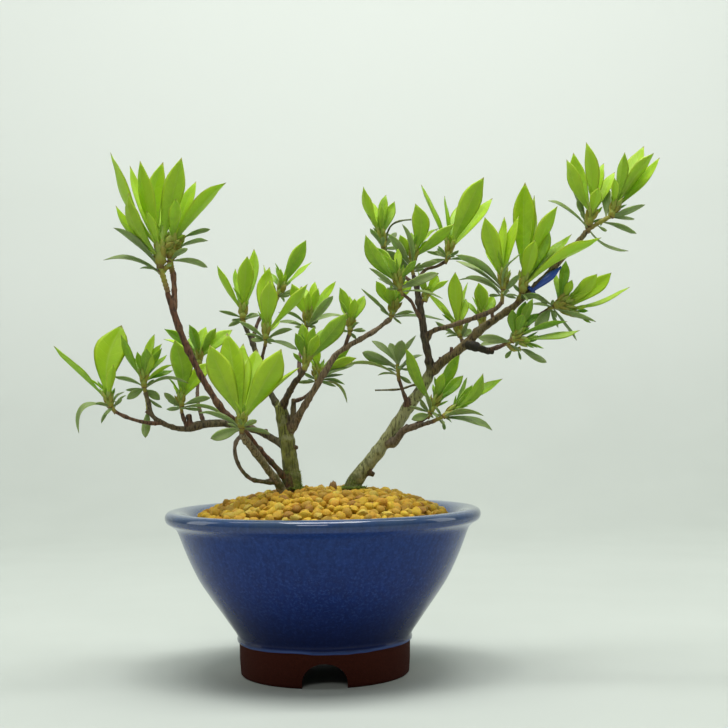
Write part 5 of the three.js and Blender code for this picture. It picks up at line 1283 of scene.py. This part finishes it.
def remeshed(stems):
    """One even skin over the stout stems, with ridges and lumps: its points and faces."""
    block = new_object("stout_wood", stems.vertices, stems.faces, BARK_SKIN)
    outward(block)
    remesh = block.modifiers.new("skin", "REMESH")
    remesh.mode = "VOXEL"
    remesh.voxel_size = WOOD["voxel"] * MM
    shape = bmesh.new()
    shape.from_mesh(modified(block))
    bpy.data.objects.remove(block)
    all_axes = {"use_axis_x": True, "use_axis_y": True, "use_axis_z": True}
    for _ in range(2):
        bmesh.ops.smooth_vert(shape, verts=shape.verts, factor=0.5, **all_axes)
    vertices = []
    for vertex in shape.verts:
        point = vertex.co.copy()
        ridges = WOOD["ridges"] * noise.noise(Vector((point.x * 900, point.y * 900, point.z * 260)))
        lumps = WOOD["lumps"] * noise.noise(point * 420)
        vertices.append(point + vertex.normal * (WOOD["skin"] + ridges + lumps) * MM)
    faces = [tuple(v.index for v in face.verts) for face in shape.faces]
    shape.free()
    return vertices, faces


def wood():
    """Every branch in one piece, with colour taken from the branches that are near."""
    thick, thin = LeafMesh(), LeafMesh()
    samples = []
    for name, rows in BRANCHES.items():
        line, radii, travelled = branch_line(rows, WOOD["step"] * MM)
        stout = max(row[3] for row in rows) >= WOOD["stout"]
        shaped = knotted(name, rows, line, radii, travelled)
        (thick if stout else thin).stem(line, shaped, [0] * len(line), 0, WOOD["sides"][stout])
        colour = linear(BARK.get(name, TWIG))
        samples += [(point, radius, colour, name) for point, radius in zip(line, radii)]
    vertices, faces = remeshed(thick)
    faces += shifted(thin.faces, len(vertices))
    made = new_object("bark_and_twigs", vertices + thin.vertices, faces, BARK_SKIN)
    tree = KDTree(len(samples))
    for i, sample in enumerate(samples):
        tree.insert(sample[0], i)
    tree.balance()
    colours, ages = [], []
    for vertex in made.data.vertices:
        near = [
            (1 / max(distance - samples[i][1], 0.1 * MM) ** 2, samples[i])
            for _, i, distance in tree.find_n(vertex.co, 5)
        ]
        total = sum(weight for weight, _ in near)
        blend = [sum(weight * sample[2][c] for weight, sample in near) / total for c in range(3)]
        colours.append([*blend, 1])
        _, radius, _, branch = near[0][1]
        ages.append(0.0 if branch == "rough_spur" else 0.1 + 0.8 * smooth(radius / MM, 1.1, 2.4))
    add_attribute(made, "bark", "FLOAT_COLOR", colours)
    add_attribute(made, "age", "FLOAT", ages)
    finished(made, "bark", "trunk_and_branches")


# ---------------------------------------------------------------- pot

def notch_cutters():
    """Arches that are cut through the foot ring."""
    half = FOOT["notch_width"] / 2
    spring = FOOT["notch_spring"]
    rise = FOOT["notch_height"] - spring
    arch = [(-half, -2), (half, -2)]
    for k in range(25):
        turn = math.pi * k / 24
        arch.append((half * math.cos(turn), spring + rise * math.sin(turn)))
    for i in range(FOOT["notches"]):
        turn = Matrix.Rotation(FULL_TURN * i / FOOT["notches"] + FOOT["notch_turn"], 4, "Z")
        vertices = [
            POT_AXIS + (turn @ Vector((a, -reach, z))) * MM
            for reach in FOOT["cut"]
            for a, z in arch
        ]
        cutter = new_object(f"notch_cutter_{i}", vertices, capped(0, 2, len(arch)), GLAZE)
        outward(cutter)
        yield cutter


def pot():
    """The outline turned about the pot's axis, with its notches and softened edges."""
    sharp, sides = POT_MESH["sharp_points"], POT_MESH["sides"]
    fine = curve_through([Vector((r, 0, z)) for r, z in POT_OUTLINE[sharp:]], POT_MESH["step"])
    outline = POT_OUTLINE[:sharp] + [(point.x, point.z) for point in fine] + POT_UNDERSIDE
    vertices = []
    for radius, height in outline:
        for k in range(sides):
            out = turned(RIGHT, BACK, FULL_TURN * k / sides) * radius
            vertices.append(POT_AXIS + (out + UP * height) * MM)
    made = new_object("glazed_pot", vertices, walls(0, len(outline), sides, closed=True), GLAZE)
    outward(made)
    cutters = list(notch_cutters())
    for cutter in cutters:
        cut = made.modifiers.new("notch", "BOOLEAN")
        cut.object = cutter
        cut.solver = "EXACT"
    cut_mesh = modified(made)
    made.modifiers.clear()
    made.data = cut_mesh
    for cutter in cutters:
        bpy.data.objects.remove(cutter)
    soften = made.modifiers.new("soft_edges", "BEVEL")
    soften.width = POT_MESH["bevel"] * MM
    soften.segments = 2
    soften.limit_method = "ANGLE"
    soften.angle_limit = math.radians(POT_MESH["bevel_angle"])
    made.data.shade_smooth()
    finished(made, "pot_glaze", "pot")


# ---------------------------------------------------------------- granules and moss

def mound_height(x, y):
    """Height of the mound at a place, millimetres from the pot's axis."""
    share = math.hypot(x, y) / DRESSING_RADIUS
    out = math.hypot(x - MOUND["shift"] * (1 - share), y) / DRESSING_RADIUS
    return MOUND["edge"] + (MOUND["top"] - MOUND["edge"]) * (1 - min(out, 1) ** MOUND["power"])


def granule_places(pitch, draw):
    """A loose triangle pattern over the mound."""
    reach = DRESSING_RADIUS - MOUND["bare_edge"]
    jitter = GRANULE["jitter"]
    rows = int(reach / (pitch * ROW_PITCH)) + 1
    for j in range(-rows, rows + 1):
        for i in range(-rows - 3, rows + 4):
            x = (i + 0.5 * (j % 2)) * pitch + draw.uniform(-jitter, jitter) * pitch
            y = j * pitch * ROW_PITCH + draw.uniform(-jitter, jitter) * pitch
            if math.hypot(x, y) < reach:
                yield x, y


def granules():
    """Balls that are stretched and cut flat on many sides, in two layers over the mound."""
    ball = bmesh.new()
    bmesh.ops.create_icosphere(ball, subdivisions=2, radius=1)
    ball.verts.index_update()
    corners = np.array([v.co[:] for v in ball.verts])
    ball_faces = [tuple(v.index for v in face.verts) for face in ball.faces]
    ball.free()
    draw = random.Random(SEEDS["granules"])
    grains = np.random.default_rng(SEEDS["granules"])
    stems = [
        (place(a, u, d) - POT_AXIS, width / 2)
        for name in ("left_trunk", "right_trunk", "grey_stem", "long_stem")
        for a, u, d, width in BRANCHES[name][:2]
    ]
    vertices, faces, tones = [], [], []
    for pitch, size, sink in GRANULE_LAYERS:
        for x, y in granule_places(pitch, draw):
            clear = GRANULE["off_stems"]
            if any(math.hypot(x - s.x / MM, y - s.y / MM) < r + clear for s, r in stems):
                continue
            radius = size * draw.uniform(*GRANULE["size"])
            shape = corners * np.array([draw.uniform(*span) for span in GRANULE["stretch"]])
            for _ in range(GRANULE["facets"]):
                plane = grains.normal(size=3)
                plane /= np.linalg.norm(plane)
                over = shape @ plane - draw.uniform(*GRANULE["facet_at"])
                shape = shape - np.outer(np.maximum(over, 0) * GRANULE["cut"], plane)
            turn = np.array(Quaternion(grains.normal(size=4)).normalized().to_matrix())
            uneven = draw.uniform(-GRANULE["uneven"], GRANULE["uneven"])
            height = mound_height(x, y) + sink + uneven
            centre = np.array(POT_AXIS) + np.array((x, y, height)) * MM
            faces += shifted(ball_faces, len(vertices))
            vertices.extend((shape @ turn.T) * radius * MM + centre)
            usual = draw.random() > GRANULE["odd"]
            tone = draw.random() if usual else draw.choice(GRANULE["odd_tones"])
            tones += [tone] * len(shape)
    made = new_object("pumice_granules", vertices, faces, GRANULES)
    made.data.set_sharp_from_angle(angle=math.radians(GRANULE["sharp"]))
    add_attribute(made, "tone", "FLOAT", tones)
    finished(made, "granules", "top_dressing")


def moss():
    """Short blades that climb the feet of both trunks and spill a little over the granules."""
    draw = random.Random(SEEDS["moss"])
    vertices, faces = [], []
    step = FRINGE["step"]
    for name, climb, skirt in FRINGE["trunks"]:
        line, radii, _ = branch_line(BRANCHES[name], step * MM)
        foot = min(range(len(line)), key=lambda i: abs(line[i].z / MM - MOUND["top"]))
        for _ in range(FRINGE["blades"]):
            rise = climb * draw.random() ** 1.8
            at = min(foot + round(rise / step), len(line) - 1)
            away = turned(RIGHT, BACK, draw.uniform(0, FULL_TURN))
            spread = draw.uniform(0, skirt) * max(0, 1 - rise / FRINGE["skirt_height"])
            root = line[at] + away * (radii[at] + spread * MM)
            root.z = max(root.z, line[foot].z + draw.uniform(0.0, 0.9) * MM)
            turn = Vector((draw.uniform(-1, 1), draw.uniform(-1, 1), draw.uniform(0.2, 1.4)))
            lean = (away * 0.9 + turn).normalized()
            tip = root + lean * draw.uniform(*FRINGE["length"]) * MM
            side = lean.orthogonal().normalized() * FRINGE["half_width"] * MM
            third = lean.cross(side)
            low = root - lean * FRINGE["buried"] * MM
            faces += shifted([(0, 1, 3), (1, 2, 3), (2, 0, 3), (0, 2, 1)], len(vertices))
            vertices += [low + side, low - side * 0.5 + third, low - side * 0.5 - third, tip]
    finished(new_object("moss_tufts", vertices, faces, MOSS), "new_leaf")


def dry_bud():
    """A fallen bud that stands among the granules between the trunks."""
    draw = random.Random(SEEDS["dry_bud"])
    mesh = LeafMesh()
    foot = place(*FALLEN_BUD["foot"])
    axis = Vector(FALLEN_BUD["axis"]).normalized()
    for number in range(FALLEN_BUD["scales"]):
        out = outwards(axis, number * NEXT_LEAF)
        root = foot + out * FALLEN_BUD["radius"] * MM
        tip = foot + (axis * draw.uniform(3.8, 4.8) + out * draw.uniform(0.3, 1.2)) * MM
        mesh.blade_of(
            root, axis, tip, FALLEN_BUD["width"], FALLEN_BUD["bow"], 0, BULB["scale_ratio"],
            SCALE_BLADE, 0, draw, 1,
        )
    made = new_object("dry_bud", mesh.vertices, mesh.faces, DRY_BUD)
    outward(made)
    finished(made, "bark")


# ---------------------------------------------------------------- tag

def tag():
    """A plain strip of vinyl looped round the bough, with its free end curling a little."""
    start = place(*TAG["start"])
    reach = (place(*TAG["end"]) - start).normalized()
    front = Vector(TAG["faces"])
    away = (front - reach * front.dot(reach)).normalized()
    across = reach.cross(away)
    thick = away * TAG["half_thickness"] * MM
    strip = []
    for i in range(TAG["rows"] + 1):
        share = i / TAG["rows"]
        centre = start + reach * (0.4 + TAG["length"] * share) * MM
        centre += away * (TAG["off_bough"] + 0.5 * math.sin(math.pi * share)) * MM
        taper = 0.4 + 0.6 * smooth(share, 0, 0.6) - 0.78 * smooth(share, 0.6, 1.02)
        tilt = across + away * 0.25 * math.sin(2.2 * share)
        edge = tilt * (TAG["half_width"] * MM * taper)
        strip += [centre + edge + thick, centre - edge + thick]
        strip += [centre - edge - thick, centre + edge - thick]
    loop = []
    centre = start + reach * 0.8 * MM
    for i in range(TAG["sides"] + 1):
        out = turned(away, across, FULL_TURN * i / TAG["sides"])
        loop += [centre + out * r * MM + reach * z * MM for r, z in TAG["loop"]]
    faces = capped(0, len(strip) // 4, 4) + capped(len(strip), len(loop) // 4, 4)
    made = new_object("plain_branch_tag", strip + loop, faces, VINYL)
    outward(made)
    finished(made, "tag_vinyl", "branch_tag")


# ---------------------------------------------------------------- building the object

for shoot_name in SHOOTS:
    for leaf_kind in ("new", "old"):
        grow(shoot_name, leaf_kind)

wood()
pot()
granules()
moss()
dry_bud()
tag()
for node, material in (("drainage_net", NETTING), ("potting_soil", SOIL)):
    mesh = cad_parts[node].data
    mesh.materials.clear()
    mesh.materials.append(material)

# ---------------------------------------------------------------- floor, light and camera, metres

# The floor runs from its front edge to where it starts to rise, on an arc of this radius.
SWEEP = {
    "front": -1.6, "rise_from": 0.55, "radius": 0.35, "top": 2.2, "half_width": 2.4, "steps": 12,
}
PALE_GREEN = (0.96, 1.0, 0.98)
# Each area light: name, place, target, size, watts, and a colour where it isn't white.
LIGHTS = [
    ("top_soft_box", (0.0, -0.15, 1.25), (0, 0, 0.08), (0.75, 0.55), 14.5),
    ("front_soft_box", (-0.15, -1.2, 0.95), (0, 0, 0.1), (0.5, 0.3), 3.2),
    ("left_fill", (-1.1, 0.15, 0.45), (0, 0, 0.1), (0.45, 0.8), 2.3, PALE_GREEN),
    ("right_fill", (1.1, 0.15, 0.45), (0, 0, 0.1), (0.45, 0.8), 2.3, PALE_GREEN),
    ("left_backdrop_light", (-0.75, 0.2, 1.7), (-0.75, 0.9, 0.6), (1.2, 0.3), 6.3),
    ("right_backdrop_light", (0.75, 0.2, 1.7), (0.75, 0.9, 0.6), (1.2, 0.3), 8.2),
]
ROOM = {"colour": (0.93, 0.96, 0.93), "strength": 0.11}
SENSOR = 36.0


def sweep_material():
    shade = Shade("pale_sweep")
    floor = shade.mix(shade.noise(14.0, 2.0), (0.70, 0.725, 0.695), (0.725, 0.75, 0.72))
    height = shade.split(shade.coordinates)[2]
    return shade.finish(
        # lighter from the floor up to 0.4 m on the backdrop: painted light
        Base_Color=shade.tints(floor, ((0.865, 0.885, 0.86), height, 0.0, 0.4)),
        Roughness=0.9,
        Specular_IOR_Level=0.1,
    )


def studio():
    """A pale floor that sweeps up into a backdrop."""
    start, radius = SWEEP["rise_from"], SWEEP["radius"]
    line = [(SWEEP["front"], 0.0), (start, 0.0)]
    for k in range(1, SWEEP["steps"] + 1):
        turn = math.pi / 2 * k / SWEEP["steps"]
        line.append((start + radius * math.sin(turn), radius - radius * math.cos(turn)))
    line.append((start + radius, SWEEP["top"]))
    half = SWEEP["half_width"]
    vertices = [(x, y, z) for y, z in line for x in (-half, half)]
    faces = [(2 * i, 2 * i + 1, 2 * i + 3, 2 * i + 2) for i in range(len(line) - 1)]
    sweep = new_object("studio_sweep", vertices, faces, sweep_material())
    sweep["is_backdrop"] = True


def area_light(name, location, target, size, power, colour=(1, 1, 1)):
    data = bpy.data.lights.new(name, "AREA")
    data.shape = "RECTANGLE"
    data.size, data.size_y = size
    data.energy = power
    data.color = colour
    lamp = in_scene(name, data)
    lamp.location = location
    aim = Vector(target) - Vector(location)
    lamp.rotation_euler = aim.to_track_quat("-Z", "Y").to_euler()


def room():
    """The weak light that comes from all sides."""
    world = bpy.data.worlds.new("pale_room")
    world.use_nodes = True
    background = world.node_tree.nodes["Background"]
    background.inputs["Color"].default_value = linear(ROOM["colour"])
    background.inputs["Strength"].default_value = ROOM["strength"]
    bpy.context.scene.world = world
    bpy.context.scene.view_settings.view_transform = "Standard"


def camera():
    """The view that the elevation is drawn from, rolled by the tree's lean."""
    data = bpy.data.cameras.new("front_view")
    data.sensor_width = SENSOR
    data.lens = SENSOR * FOCAL_PIXELS / FRAME_PIXELS
    data.clip_start = 0.01
    made = in_scene("front_view", data)
    eye = POT_AXIS + Vector((EYE["x"], -EYE["distance"], EYE["up"])) * MM
    aim = Matrix.Rotation(math.pi / 2 + LOOK_UP, 4, "X") @ Matrix.Rotation(-LEAN, 4, "Z")
    made.matrix_world = Matrix.Translation(eye) @ aim
    bpy.context.scene.camera = made


studio()
for light in LIGHTS:
    area_light(*light)
room()
camera()

VISUAL_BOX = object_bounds()
boxes = {"cad": CAD_BOX, "visual": VISUAL_BOX}
{name: [list(corner) for corner in box] for name, box in boxes.items()}
